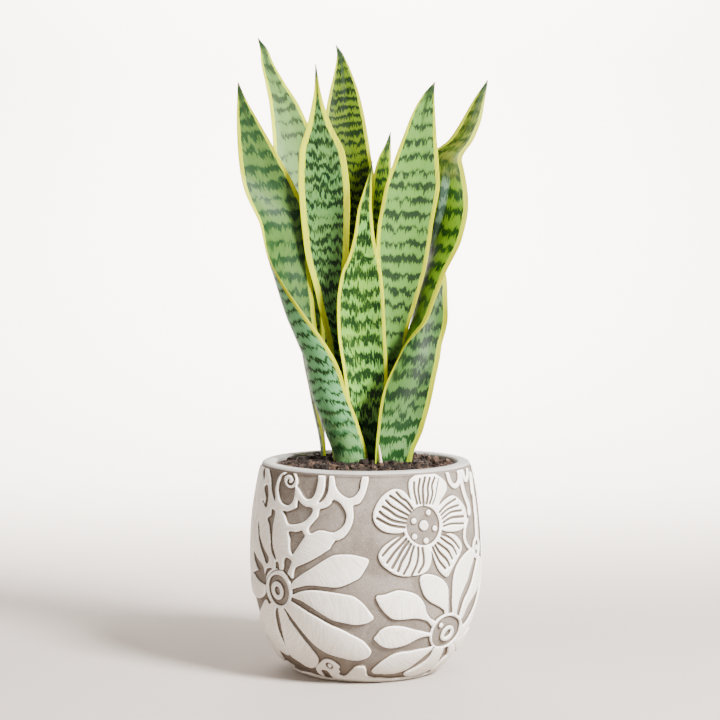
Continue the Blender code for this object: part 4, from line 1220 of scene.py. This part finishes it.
    def _close_foot(
        self, spots: np.ndarray, zones: np.ndarray, relief: np.ndarray,
        faces: list[tuple[int, ...]], index: np.ndarray,
    ) -> tuple[np.ndarray, np.ndarray, np.ndarray, list[tuple[int, ...]]]:
        """Adds the resting face, the inner floor and the drain holes between them.

        Args:
            spots: vertices so far.
            zones: zone of each vertex.
            relief: relief distance of each vertex.
            faces: faces so far.
            index: vertex numbers by row and column.

        Returns:
            The longer spots, zones, relief and faces.
        """
        sides = DRAIN_SIDES
        low: list[list[tuple[float, float, float]]] = []
        for hole in range(self.drains):
            turn = math.radians(360.0 * hole / self.drains)
            cx, cy = 0.48 * self.foot * math.cos(turn), 0.48 * self.foot * math.sin(turn)
            ring = [(cx + self.drain_radius * math.cos(math.tau * k / sides),
                     cy + self.drain_radius * math.sin(math.tau * k / sides), 0.0) for k in range(sides)]
            low.append(ring)
        start = len(spots)
        flat = [spot for ring in low for spot in ring]
        extra = np.array(flat + [(x, y, self.floor) for x, y, _ in flat])
        count = len(flat)
        for level, row in ((0, index[0]), (1, index[-1])):
            edge = [Vector(spots[number]) for number in row]
            loops = [edge] + [[Vector(spot) for spot in reversed(ring)] for ring in low]
            numbers = list(row) + [start + level * count + hole * sides + k
                                   for hole in range(self.drains) for k in reversed(range(sides))]
            for loop in loops:
                for spot in loop:
                    spot.z = 0.0
            for corners in geometry.tessellate_polygon(loops):
                trio = [int(numbers[corner]) for corner in corners]
                a, b, c = (np.r_[spots, extra][number][:2] for number in trio)
                area = (b[0] - a[0]) * (c[1] - a[1]) - (b[1] - a[1]) * (c[0] - a[0])
                if (area > 0) == (level == 0):
                    trio.reverse()
                faces.append(tuple(trio))
        for hole in range(self.drains):
            for k in range(sides):
                a = start + hole * sides + k
                b = start + hole * sides + (k + 1) % sides
                faces.append((b, a, a + count, b + count))
        spots = np.r_[spots, extra]
        zones = np.r_[zones, np.full(len(extra), Zone.UNDERSIDE.value)]
        return spots, zones, np.r_[relief, np.full(len(extra), NO_RELIEF)], faces

    def dress(self, piece: bpy.types.Object) -> None:
        """Gives the pot its finish, hides its CAD solid and attaches it to the root body.

        Args:
            piece: the pot.
        """
        piece.data.materials.append(PotFinish().material("pot_cast_relief"))
        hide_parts("pot")
        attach(piece, "root")


def put_in_scene(name: str, mesh: bpy.types.Mesh) -> bpy.types.Object:
    """Puts a mesh in the scene as a named piece."""
    piece = bpy.data.objects.new(name, mesh)
    bpy.context.scene.collection.objects.link(piece)
    return piece


def meshed(name: str, spots: Any, faces: Sequence[Sequence[int]]) -> bpy.types.Mesh:
    """Makes a mesh from places in millimetres and faces."""
    mesh = bpy.data.meshes.new(name)
    mesh.from_pydata((np.asarray(spots) * MILLI).tolist(), [], faces)
    mesh.update()
    return mesh


def store(mesh: bpy.types.Mesh, name: str, values: np.ndarray) -> None:
    """Stores a number at each vertex.

    Args:
        mesh: the mesh.
        name: name of the attribute.
        values: one value for each vertex.
    """
    layer = mesh.attributes.new(name, "FLOAT", "POINT")
    layer.data.foreach_set("value", np.asarray(values, np.float32).ravel())


# ---------------------------------------------------------------------------
# Leaves
# ---------------------------------------------------------------------------


@dataclass(frozen=True)
class Station:
    """Cross-section of a leaf: share of its reach, place and half width in leaf widths, degrees."""

    up: float
    x: float
    y: float
    half: float
    turn: float
    curl: float


@dataclass(frozen=True)
class LeafPlan:
    """One leaf: its node, how high it reaches and its cross-sections."""

    name: str
    reach: float
    stations: tuple[Station, ...]


def stations(*rows: tuple[float, ...]) -> tuple[Station, ...]:
    """Reads cross-sections from rows of numbers."""
    return tuple(Station(*row) for row in rows)


LEAVES: tuple[LeafPlan, ...] = (
    LeafPlan("leaf_front_left", 0.871, stations(
        (0.00, -0.27, -0.31, 0.328, 165, 120), (0.10, -0.46, -0.33, 0.378, 156, 125),
        (0.19, -0.70, -0.35, 0.438, 138, 140), (0.27, -0.87, -0.35, 0.521, 114, 158),
        (0.34, -1.06, -0.31, 0.562, 95, 175), (0.40, -1.19, -0.25, 0.562, 79, 165),
        (0.47, -1.27, -0.17, 0.531, 62, 140), (0.55, -1.32, -0.10, 0.500, 46, 105),
        (0.62, -1.29, -0.08, 0.485, 34, 75), (0.72, -1.47, -0.10, 0.428, 18, 50),
        (0.81, -1.63, -0.19, 0.313, 10, 40), (0.90, -1.78, -0.31, 0.169, 8, 30),
        (0.962, -1.87, -0.42, 0.060, 5, 20), (1.000, -1.91, -0.50, 0.007, 5, 10),
    )),
    LeafPlan("leaf_tall_back_left", 1.000, stations(
        (0.00, -0.68, 0.48, 0.229, 90, 60), (0.14, -0.83, 0.56, 0.281, 84, 80),
        (0.23, -0.92, 0.62, 0.333, 68, 100), (0.35, -0.98, 0.71, 0.354, 45, 95),
        (0.49, -1.02, 0.83, 0.375, 22, 75), (0.61, -1.07, 1.00, 0.387, 12, 60),
        (0.73, -1.13, 1.19, 0.348, 6, 50), (0.83, -1.28, 1.35, 0.248, 3, 45),
        (0.89, -1.44, 1.46, 0.157, 0, 35), (0.94, -1.57, 1.56, 0.097, 0, 30),
        (0.970, -1.62, 1.62, 0.062, 0, 20), (1.000, -1.72, 1.69, 0.008, 0, 10),
    )),
    LeafPlan("leaf_centre_left", 0.910, stations(
        (0.00, -0.27, 0.27, 0.203, 0, 130), (0.15, -0.31, 0.23, 0.225, -5, 120),
        (0.30, -0.38, 0.17, 0.228, -5, 100), (0.41, -0.52, 0.08, 0.239, -5, 75),
        (0.54, -0.59, -0.02, 0.352, -5, 55), (0.69, -0.63, -0.19, 0.395, -3, 45),
        (0.78, -0.66, -0.29, 0.353, 0, 40), (0.85, -0.70, -0.40, 0.189, 0, 30),
        (0.90, -0.72, -0.48, 0.097, 0, 25), (0.942, -0.73, -0.54, 0.043, 0, 20),
        (1.000, -0.75, -0.62, 0.006, 0, 10),
    )),
    LeafPlan("leaf_short_front", 0.693, stations(
        (0.00, 0.00, 0.08, 0.240, 8, 115), (0.14, -0.00, 0.04, 0.300, 8, 100),
        (0.29, -0.02, 0.00, 0.363, 6, 80), (0.43, -0.07, -0.08, 0.382, 4, 60),
        (0.54, -0.08, -0.17, 0.368, 0, 50), (0.63, -0.07, -0.25, 0.314, 0, 45),
        (0.69, -0.04, -0.31, 0.227, 0, 40), (0.76, -0.03, -0.40, 0.154, 0, 35),
        (0.84, -0.02, -0.48, 0.108, 0, 30), (0.90, 0.02, -0.56, 0.065, 0, 25),
        (0.955, 0.06, -0.62, 0.024, 0, 20), (1.000, 0.09, -0.69, 0.006, 0, 10),
    )),
    LeafPlan("leaf_right", 0.894, stations(
        (0.00, 0.36, -0.21, 0.347, 20, 110), (0.09, 0.46, -0.17, 0.435, 22, 100),
        (0.19, 0.56, -0.06, 0.493, 28, 100), (0.29, 0.702, 0.103, 0.490, 42, 112),
        (0.37, 0.770, 0.285, 0.579, 62, 188), (0.43, 0.830, 0.298, 0.565, 75, 176),
        (0.50, 0.938, 0.390, 0.568, 91, 136), (0.58, 1.072, 0.559, 0.516, 122, 90),
        (0.68, 1.16, 0.62, 0.448, 148, 60), (0.78, 1.17, 0.79, 0.333, 165, 50),
        (0.84, 1.49, 0.92, 0.201, 172, 40), (0.89, 1.65, 1.02, 0.159, 176, 30),
        (0.946, 1.78, 1.12, 0.092, 178, 20), (1.000, 1.92, 1.23, 0.008, 180, 10),
    )),
    LeafPlan("leaf_centre_right", 0.873, stations(
        (0.00, 0.45, 0.38, 0.172, 0, 125), (0.10, 0.44, 0.35, 0.175, 0, 115),
        (0.23, 0.42, 0.29, 0.176, 0, 100), (0.34, 0.43, 0.17, 0.228, 0, 85),
        (0.43, 0.48, 0.08, 0.321, 0, 75), (0.52, 0.54, 0.02, 0.397, 0, 60),
        (0.62, 0.59, -0.04, 0.432, 0, 50), (0.71, 0.68, -0.10, 0.430, 0, 45),
        (0.79, 0.75, -0.17, 0.351, 0, 40), (0.86, 0.81, -0.23, 0.256, 0, 35),
        (0.93, 0.88, -0.29, 0.159, 0, 28), (0.972, 0.95, -0.33, 0.075, 0, 20),
        (1.000, 1.03, -0.35, 0.006, 0, 10),
    )),
    LeafPlan("leaf_tall_back", 0.978, stations(
        (0.00, -0.17, 0.65, 0.173, 0, 125), (0.09, -0.22, 0.65, 0.270, 0, 115),
        (0.23, -0.31, 0.65, 0.400, 0, 100), (0.38, -0.32, 0.65, 0.420, 0, 80),
        (0.52, -0.28, 0.69, 0.415, 0, 60), (0.65, -0.27, 0.79, 0.427, 0, 50),
        (0.74, -0.31, 0.92, 0.385, 0, 45), (0.83, -0.33, 1.02, 0.308, 0, 40),
        (0.88, -0.34, 1.10, 0.239, 0, 35), (0.93, -0.36, 1.17, 0.143, 0, 30),
        (0.973, -0.40, 1.25, 0.057, 0, 20), (1.000, -0.47, 1.29, 0.006, 0, 10),
    )),
    LeafPlan("leaf_small_back", 0.766, stations(
        (0.00, 0.14, 0.50, 0.110, 0, 110), (0.21, 0.17, 0.44, 0.138, 0, 90),
        (0.43, 0.19, 0.40, 0.161, 0, 70), (0.61, 0.22, 0.40, 0.175, 0, 50),
        (0.76, 0.23, 0.42, 0.168, 0, 40), (0.86, 0.25, 0.46, 0.140, 0, 30),
        (0.92, 0.29, 0.50, 0.099, 0, 25), (0.960, 0.34, 0.54, 0.046, 0, 20),
        (1.000, 0.38, 0.58, 0.006, 0, 10),
    )),
)


@dataclass
class Leaf:
    """A fleshy leaf, built finer than its CAD solid from the same cross-sections. Sizes in millimetres."""

    plan: LeafPlan
    finish: LeafFinish
    plant_height: float = 470.0
    soil_top: float = 153.5
    width: float = LEAF_WIDTH
    thickness: float = 3.2
    depth: float = 15.0
    rings: int = 250
    strips: int = 30

    def rows(self) -> np.ndarray:
        """Blends the stations into even rings.

        Returns:
            Rows of height, x, y, half width, turn and curl.
        """
        reach = self.plan.reach * (self.plant_height - self.soil_top)
        table = [(self.soil_top + s.up * reach, s.x * self.width, s.y * self.width,
                  s.half * self.width, s.turn, s.curl) for s in self.plan.stations]
        data = np.array(table)
        ups = data[:, 0]
        steps = np.diff(ups)
        slopes = np.diff(data, axis=0) / steps[:, None]
        rates = np.zeros_like(data)
        for row in range(1, len(data) - 1):
            before, after = slopes[row - 1], slopes[row]
            same = before * after > 0
            rates[row] = np.where(same, 2 * before * after / np.where(same, before + after, 1.0), 0.0)
        rates[-1] = slopes[-1]
        share = np.linspace(0, 1, self.rings) ** 0.9
        heights = ups[0] + (ups[-1] - ups[0]) * share
        spans = np.clip(np.searchsorted(ups, heights, side="right") - 1, 0, len(ups) - 2)
        step = steps[spans]
        t = ((heights - ups[spans]) / step)[:, None]
        a, b = data[spans], data[spans + 1]
        m, n = rates[spans] * step[:, None], rates[spans + 1] * step[:, None]
        out = ((2 * t**3 - 3 * t**2 + 1) * a + (t**3 - 2 * t**2 + t) * m
               + (3 * t**2 - 2 * t**3) * b + (t**3 - t**2) * n)
        out[:, 0] = heights
        base = out[0].copy()
        base[0] = self.soil_top - self.depth
        return np.vstack([base, out])

    def build(self) -> bpy.types.Object:
        """Builds the leaf's mesh with its colouring coordinates.

        Returns:
            The leaf.
        """
        rows = self.rows()
        spots, across, along, edge, tip, inner = [], [], [], [], [], []
        gaps = np.hypot(np.hypot(np.diff(rows[:, 1]), np.diff(rows[:, 2])), np.diff(rows[:, 0]))
        length = np.r_[0, np.cumsum(gaps)]
        sides = np.cos(np.linspace(math.pi, 0, self.strips + 1))
        for row, far in zip(rows, length):
            z, x, y, half, turn, curl = row
            turn, curl = math.radians(turn), math.radians(max(curl, 1.0))
            over = np.array([math.cos(turn), math.sin(turn), 0.0])
            inward = np.array([math.sin(turn), -math.cos(turn), 0.0])
            bend = 2 * half / curl
            share = half / self.width
            thick = self.thickness * min(1.0, 0.15 + 2.4 * share)
            ripple = 0.22 * math.sin(far * 0.075 + self.finish.seed) * min(1.0, share * 3)
            for face, order in ((1.0, sides), (-1.0, sides[::-1][1:-1])):
                for u in order:
                    angle = u * half / bend
                    offset = math.sin(angle) * over + (1 - math.cos(angle)) * inward
                    middle = np.array([x, y, z]) + bend * offset
                    normal = math.cos(angle) * inward - math.sin(angle) * over
                    swell = 0.5 * thick * math.sqrt(max(1e-4, 1 - abs(u) ** 3.2)) * (1 - 0.38 * u * u)
                    wave = ripple * u * abs(u) + 0.10 * math.sin(u * 9 + far * 0.012)
                    spots.append(middle + normal * (face * swell + wave * min(1.0, share * 4)))
                    across.append(u * half)
                    along.append(far - self.depth)
                    edge.append((1 - abs(u)) * half)
                    tip.append(length[-1] - far)
                    inner.append(0.5 if abs(u) > 0.9999 else (1.0 if face > 0 else 0.0))
        count = 2 * self.strips
        total = len(rows)
        index = np.arange(total * count).reshape(total, count)
        quads = np.stack([index[:-1], np.roll(index[:-1], -1, 1), np.roll(index[1:], -1, 1), index[1:]], 2)
        faces = [tuple(quad) for quad in quads.reshape(-1, 4).tolist()]
        faces.append(tuple(reversed(index[0].tolist())))
        faces.append(tuple(index[-1].tolist()))
        mesh = meshed(self.plan.name + "_blade", spots, faces)
        measures = {"across": across, "along": along, "edge": edge, "tip": tip, "inner": inner}
        for name, values in measures.items():
            store(mesh, name, np.array(values))
        turn_out(mesh)
        mesh.shade_smooth()
        return put_in_scene(self.plan.name + "_blade", mesh)

    def dress(self, piece: bpy.types.Object) -> None:
        """Gives the leaf its finish, hides its CAD solid and attaches it to the root body.

        Args:
            piece: the leaf.
        """
        piece.data.materials.append(self.finish.material(self.plan.name + "_finish"))
        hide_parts(self.plan.name)
        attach(piece, "root")


def turn_out(mesh: bpy.types.Mesh) -> None:
    """Makes the faces of a closed mesh look outward.

    Args:
        mesh: the mesh.
    """
    work = bmesh.new()
    work.from_mesh(mesh)
    bmesh.ops.recalc_face_normals(work, faces=work.faces)
    if work.calc_volume(signed=True) < 0:
        bmesh.ops.reverse_faces(work, faces=work.faces)
    work.to_mesh(mesh)
    work.free()


# ---------------------------------------------------------------------------
# Potting mix, chips and shoot
# ---------------------------------------------------------------------------


@dataclass
class BarkMix:
    """Loose bark and coir over the potting mix. Sizes in millimetres."""

    mouth: float = 67.0
    edge_height: float = 151.0
    crown: float = 2.5
    crumbs: int = 2600
    fibres: int = 190
    seed: int = 11
    foot_clear: float = 9.0
    large: float = 4.2

    def level(self, radius: float) -> float:
        """Gives the mix's height at a radius."""
        return self.edge_height + self.crown * (1 - (radius / self.mouth) ** 2)

    def _crumb(self, rng: np.random.Generator, size: float) -> tuple[np.ndarray, list[tuple[int, ...]]]:
        """Makes one torn flake of bark.

        Args:
            rng: random numbers.
            size: longest side.

        Returns:
            Its vertices and faces.
        """
        sides = int(rng.integers(5, 8))
        turns = np.linspace(0, math.tau, sides, endpoint=False) + rng.uniform(-0.25, 0.25, sides)
        reach = rng.uniform(0.65, 1.0, sides) * 0.5
        flat = np.stack([np.cos(turns) * reach, np.sin(turns) * reach * rng.uniform(0.35, 0.75)], 1)
        thick = rng.uniform(0.12, 0.30)
        upper = np.c_[flat * rng.uniform(0.6, 0.9), np.full(sides, thick) + rng.uniform(-0.05, 0.05, sides)]
        middle = np.c_[flat, rng.uniform(-0.05, 0.05, sides)]
        lower = np.c_[flat * 0.7, np.full(sides, -thick) + rng.uniform(-0.05, 0.05, sides)]
        bend = rng.uniform(-0.35, 0.35)
        spots = np.vstack([lower, middle, upper, [[0, 0, -thick * 1.1], [0.03, 0.02, thick * 1.15]]])
        spots[:, 2] += bend * spots[:, 0] ** 2
        faces: list[tuple[int, ...]] = []
        for ring in range(2):
            for k in range(sides):
                a, b = ring * sides + k, ring * sides + (k + 1) % sides
                faces.append((a, b, b + sides, a + sides))
        for k in range(sides):
            faces.append(((k + 1) % sides, k, 3 * sides))
            faces.append((2 * sides + k, 2 * sides + (k + 1) % sides, 3 * sides + 1))
        return spots * size, faces

    def build(self, blades: Sequence[LeafPlan], width: float) -> bpy.types.Object:
        """Scatters the flakes and fibres over the mix and joins them as one layer.

        Args:
            blades: leaves to keep clear of.
            width: the full leaf width.

        Returns:
            The layer.
        """
        rng = np.random.default_rng(self.seed)
        feet = [(p.stations[0].x * width, p.stations[0].y * width) for p in blades]
        spots, faces, shade, start = [], [], [], 0
        placed = 0
        while placed < self.crumbs:
            radius = (self.mouth - 1.6) * math.sqrt(rng.uniform(0, 1))
            turn = rng.uniform(0, math.tau)
            near_rim = min(1.0, max(0.0, (radius - 54.0) / 9.0))
            size = float(np.clip(rng.lognormal(1.10, 0.50), 1.4, 9.0 - 6.2 * near_rim))
            if radius + size * 0.5 > self.mouth - 0.5:
                radius = self.mouth - 0.5 - size * 0.5
            x, y = radius * math.cos(turn), radius * math.sin(turn)
            if size > self.large and min(math.hypot(x - fx, y - fy) for fx, fy in feet) < self.foot_clear:
                continue
            made, quads = self._crumb(rng, size)
            tilt = rng.normal(0, 0.42)
            spin = rng.uniform(0, math.tau)
            c, s = math.cos(tilt), math.sin(tilt)
            made = made @ np.array([[1, 0, 0], [0, c, -s], [0, s, c]])
            c, s = math.cos(spin), math.sin(spin)
            made = made @ np.array([[c, -s, 0], [s, c, 0], [0, 0, 1]])
            lift = rng.uniform(-0.2, 0.5) * size * 0.45
            made += (x, y, self.level(radius) + lift * (1 - 0.8 * near_rim) + 0.4 - 0.7 * near_rim)
            spots.append(made)
            faces.extend(tuple(corner + start for corner in quad) for quad in quads)
            shade.append(np.full(len(made), rng.uniform(0, 1)))
            start += len(made)
            placed += 1
        for _ in range(self.fibres):
            radius = (self.mouth - 6) * math.sqrt(rng.uniform(0, 1))
            turn, spin = rng.uniform(0, math.tau), rng.uniform(0, math.tau)
            length, arch = rng.uniform(5, 13), rng.uniform(0.4, 1.8)
            tube, quads = self._fibre(rng, length, arch)
            c, s = math.cos(spin), math.sin(spin)
            tube = tube @ np.array([[c, -s, 0], [s, c, 0], [0, 0, 1]])
            tube += (radius * math.cos(turn), radius * math.sin(turn), self.level(radius) + 0.5)
            far = np.hypot(tube[:, 0], tube[:, 1])
            keep = np.minimum(1.0, (self.mouth - 0.8) / np.maximum(far, 1e-6))
            tube[:, :2] *= keep[:, None]
            spots.append(tube)
            faces.extend(tuple(corner + start for corner in quad) for quad in quads)
            shade.append(np.full(len(tube), rng.uniform(0.5, 1)))
            start += len(tube)
        mesh = meshed("bark_layer", np.vstack(spots), faces)
        store(mesh, "piece", np.concatenate(shade))
        return put_in_scene("bark_layer", mesh)

    def _fibre(
        self, rng: np.random.Generator, length: float, arch: float
    ) -> tuple[np.ndarray, list[tuple[int, ...]]]:
        """Makes one curled coir fibre.

        Args:
            rng: random numbers.
            length: its length.
            arch: how high it arches.

        Returns:
            Its vertices and faces.
        """
        steps, sides = 9, 4
        curve = rng.uniform(-2.2, 2.2)
        spots = []
        for step in range(steps):
            t = step / (steps - 1)
            along = (t - 0.5) * length
            bow = math.sin(math.pi * t)
            centre = np.array([along, curve * bow + 0.4 * math.sin(9 * t), arch * bow - 0.4])
            thick = 0.24 * (1 - 0.6 * abs(2 * t - 1))
            for k in range(sides):
                turn = math.tau * k / sides
                spots.append(centre + (0, thick * math.cos(turn), thick * math.sin(turn)))
        faces: list[tuple[int, ...]] = []
        for step in range(steps - 1):
            for k in range(sides):
                a, b = step * sides + k, step * sides + (k + 1) % sides
                faces.append((b, a, a + sides, b + sides))
        faces.append(tuple(range(sides)))
        faces.append(tuple(reversed(range((steps - 1) * sides, steps * sides))))
        return np.array(spots), faces

    def dress(self, piece: bpy.types.Object, material: bpy.types.Material) -> None:
        """Gives the layer its finish and attaches it to the root body.

        Args:
            piece: the layer.
            material: the bark material.
        """
        piece.data.materials.append(material)
        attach(piece, "root")


@dataclass
class BarkChip:
    """A large chip of bark, roughened from its CAD solid."""

    node: str
    splits: int = 4
    rough: float = 0.55

    def build(self, solid: bpy.types.Object) -> bpy.types.Object:
        """Splits the solid finely and breaks up its faces.

        Args:
            solid: the chip's CAD node.

        Returns:
            The torn chip.
        """
        work = bmesh.new()
        work.from_mesh(solid.data)
        bmesh.ops.remove_doubles(work, verts=work.verts, dist=1e-6)
        bmesh.ops.subdivide_edges(work, edges=work.edges, cuts=self.splits, use_grid_fill=True)
        bmesh.ops.smooth_vert(
            work, verts=work.verts, factor=0.35, use_axis_x=True, use_axis_y=True, use_axis_z=True)
        work.normal_update()
        for vert in work.verts:
            spot = vert.co * 1000.0
            deep = noise.noise(spot * Vector((0.35, 0.9, 0.9))) * 0.6 + noise.noise(spot * 2.1) * 0.4
            vert.co += vert.normal * deep * self.rough * MILLI
        mesh = bpy.data.meshes.new(self.node + "_torn")
        work.to_mesh(mesh)
        work.free()
        number = int(self.node[-2:])
        store(mesh, "piece", np.full(len(mesh.vertices), 0.35 + 0.06 * (number * 7 % 10)))
        return put_in_scene(self.node + "_torn", mesh)

    def dress(self, piece: bpy.types.Object, material: bpy.types.Material) -> None:
        """Gives the chip its finish, hides its CAD solid and attaches it to the root body.

        Args:
            piece: the chip.
            material: the bark material.
        """
        piece.data.materials.append(material)
        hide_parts(self.node)
        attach(piece, "root")


@dataclass
class Shoot:
    """The young shoot: a rolled leaf with a wrapped foot. Sizes in millimetres."""

    rings: int = 40
    sides: int = 18

    def build(self, low: Vector, high: Vector) -> bpy.types.Object:
        """Builds the shoot inside its CAD solid's box.

        Args:
            low: lowest corner of the CAD solid.
            high: highest corner of the CAD solid.

        Returns:
            The shoot.
        """
        foot = Vector((high.x - 1.5 * MILLI, low.y + 1.5 * MILLI, low.z))
        point = Vector((low.x + 0.4 * MILLI, high.y - 0.4 * MILLI, high.z))
        spots, rise = [], []
        for ring in range(self.rings + 1):
            t = ring / self.rings
            centre = foot.lerp(point, t)
            radius = 1.45 * MILLI * (1 - t**2.4) ** 0.75 + 0.03 * MILLI
            for side in range(self.sides):
                turn = math.tau * side / self.sides
                fold = 1.0 + 0.10 * math.cos(turn * 2 + t * 3.0)
                fold += 0.10 if math.cos(turn + 1.2) > 0.82 else 0.0
                spots.append(centre + Vector((math.cos(turn), math.sin(turn), 0.0)) * radius * fold)
                rise.append(t)
        faces: list[tuple[int, ...]] = []
        for ring in range(self.rings):
            for side in range(self.sides):
                a, b = ring * self.sides + side, ring * self.sides + (side + 1) % self.sides
                faces.append((a, b, b + self.sides, a + self.sides))
        faces.append(tuple(reversed(range(self.sides))))
        faces.append(tuple(range(self.rings * self.sides, (self.rings + 1) * self.sides)))
        mesh = bpy.data.meshes.new("young_shoot_rolled")
        mesh.from_pydata([tuple(spot) for spot in spots], [], faces)
        mesh.update()
        store(mesh, "rise", np.array(rise))
        turn_out(mesh)
        mesh.shade_smooth()
        return put_in_scene("young_shoot_rolled", mesh)

    def dress(self, piece: bpy.types.Object) -> None:
        """Gives the shoot its finish, hides its CAD solid and attaches it to the root body.

        Args:
            piece: the shoot.
        """
        piece.data.materials.append(ShootFinish().material("shoot_flesh"))
        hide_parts("young_shoot")
        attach(piece, "root")


# ---------------------------------------------------------------------------
# Studio
# ---------------------------------------------------------------------------


@dataclass
class Studio:
    """Camera, floor and soft light. Places in metres."""

    camera_at: tuple[float, float, float] = (-0.0044, -1.5, 0.3278)
    pitch: float = 3.8
    lens: float = 102.4
    key_at: tuple[float, float, float] = (1.15, -1.05, 1.25)
    key_power: float = 225.0
    key_size: float = 0.55
    fill_at: tuple[float, float, float] = (-1.5, -1.2, 0.9)
    fill_power: float = 15.0
    sky: float = 0.42
    wash_at: tuple[float, float, float] = (0.0, 0.55, 1.9)
    wash_power: float = 400.0

    def camera(self) -> None:
        """Makes the camera and sets it as the scene's."""
        data = bpy.data.cameras.new("camera")
        data.lens = self.lens
        data.sensor_width = 36.0
        camera = bpy.data.objects.new("camera", data)
        camera.location = self.camera_at
        camera.rotation_euler = (math.radians(90.0 - self.pitch), 0.0, 0.0)
        bpy.context.scene.collection.objects.link(camera)
        bpy.context.scene.camera = camera

    def light(
        self, name: str, at: tuple[float, float, float], power: float, size: float, colour: RGB,
        aim: tuple[float, float, float] = (0.0, 0.0, 0.2), spread: float = 180.0,
    ) -> None:
        """Adds one soft light.

        Args:
            name: name of the light.
            at: its place.
            power: its power in watts.
            size: width of its panel.
            colour: its colour.
            aim: the point it faces.
            spread: full angle of its beam in degrees.
        """
        data = bpy.data.lights.new(name, "AREA")
        data.shape = "DISK"
        data.size = size
        data.energy = power
        data.spread = math.radians(spread)
        data.color = colour
        lamp = bpy.data.objects.new(name, data)
        lamp.location = at
        lamp.rotation_euler = (Vector(aim) - Vector(at)).to_track_quat("-Z", "Y").to_euler()
        bpy.context.scene.collection.objects.link(lamp)

    def build(self) -> bpy.types.Object:
        """Builds the camera, lights, sky and floor.

        Returns:
            The floor, which curves up behind as a backdrop.
        """
        self.camera()
        self.light("key", self.key_at, self.key_power, self.key_size, (1.0, 0.985, 0.96))
        self.light("fill", self.fill_at, self.fill_power, 1.4, (1.0, 0.87, 0.74))
        self.light("backdrop_wash", self.wash_at, self.wash_power, 1.2, (1.0, 1.0, 1.0),
                   (0.0, 2.0, 0.7), 112.0)
        world = bpy.data.worlds.new("sky")
        world.use_nodes = True
        world.node_tree.nodes["Background"].inputs[0].default_value = (0.97, 0.98, 1.0, 1.0)
        world.node_tree.nodes["Background"].inputs[1].default_value = self.sky
        bpy.context.scene.world = world
        line = [(-3.5, 0.0), (1.4, 0.0)]
        for step in range(1, 13):
            turn = math.radians(90 * step / 12)
            line.append((1.4 + 0.6 * math.sin(turn), 0.6 * (1 - math.cos(turn))))
        line.append((2.0, 3.2))
        spots = [(side * 3.5, y, z) for y, z in line for side in (-1, 1)]
        faces = [(2 * k, 2 * k + 1, 2 * k + 3, 2 * k + 2) for k in range(len(line) - 1)]
        mesh = bpy.data.meshes.new("studio_floor")
        mesh.from_pydata(spots, [], faces)
        mesh.update()
        mesh.shade_smooth()
        mesh.materials.append(StageFinish().material("studio_pale"))
        floor = put_in_scene("studio_floor", mesh)
        return floor


def corners(box: Any) -> list[list[float]]:
    """Writes a box as plain numbers."""
    return [[float(value) for value in corner] for corner in box]


def main() -> None:
    """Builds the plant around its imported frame."""
    logging.basicConfig(level=logging.INFO, format="%(message)s")
    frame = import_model()
    Studio().build()
    LOG.info("studio ready")
    pot = Pot()
    body = pot.build()
    pot.dress(body)
    LOG.info("pot_body: %d vertices", len(body.data.vertices))
    for plan in LEAVES:
        leaf = Leaf(plan, LEAF_FINISHES[plan.name])
        blade = leaf.build()
        leaf.dress(blade)
        LOG.info("%s: %d vertices", blade.name, len(blade.data.vertices))
    mix_finish = BarkFinish().material("bark_mix")
    mix = BarkMix()
    layer = mix.build(LEAVES, LEAF_WIDTH)
    mix.dress(layer, mix_finish)
    LOG.info("bark_layer: %d vertices", len(layer.data.vertices))
    chip_finish = BarkFinish(torn_share=0.8).material("bark_chips")
    for name in sorted(node for node in frame["nodes"] if node.startswith("bark_chip_")):
        chip = BarkChip(name)
        torn = chip.build(frame["nodes"][name])
        chip.dress(torn, chip_finish)
        LOG.info("%s", torn.name)
    for name, finish in (
        ("soil", BarkFinish(deep=(0.012, 0.007, 0.005), brown=(0.055, 0.033, 0.022), torn_share=0.25)),
        ("rootstock", BarkFinish(deep=(0.32, 0.19, 0.10), brown=(0.55, 0.38, 0.22), torn=(0.72, 0.56, 0.38))),
    ):
        node = frame["nodes"][name]
        material = finish.material(name + "_finish")
        node.data.materials.clear()
        node.data.materials.append(material)
        LOG.info("%s dressed", name)
    shoot = Shoot()
    low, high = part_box("young_shoot")
    rolled = shoot.build(Vector(low), Vector(high))
    shoot.dress(rolled)
    LOG.info("young_shoot_rolled")


if __name__ == "__main__":
    main()
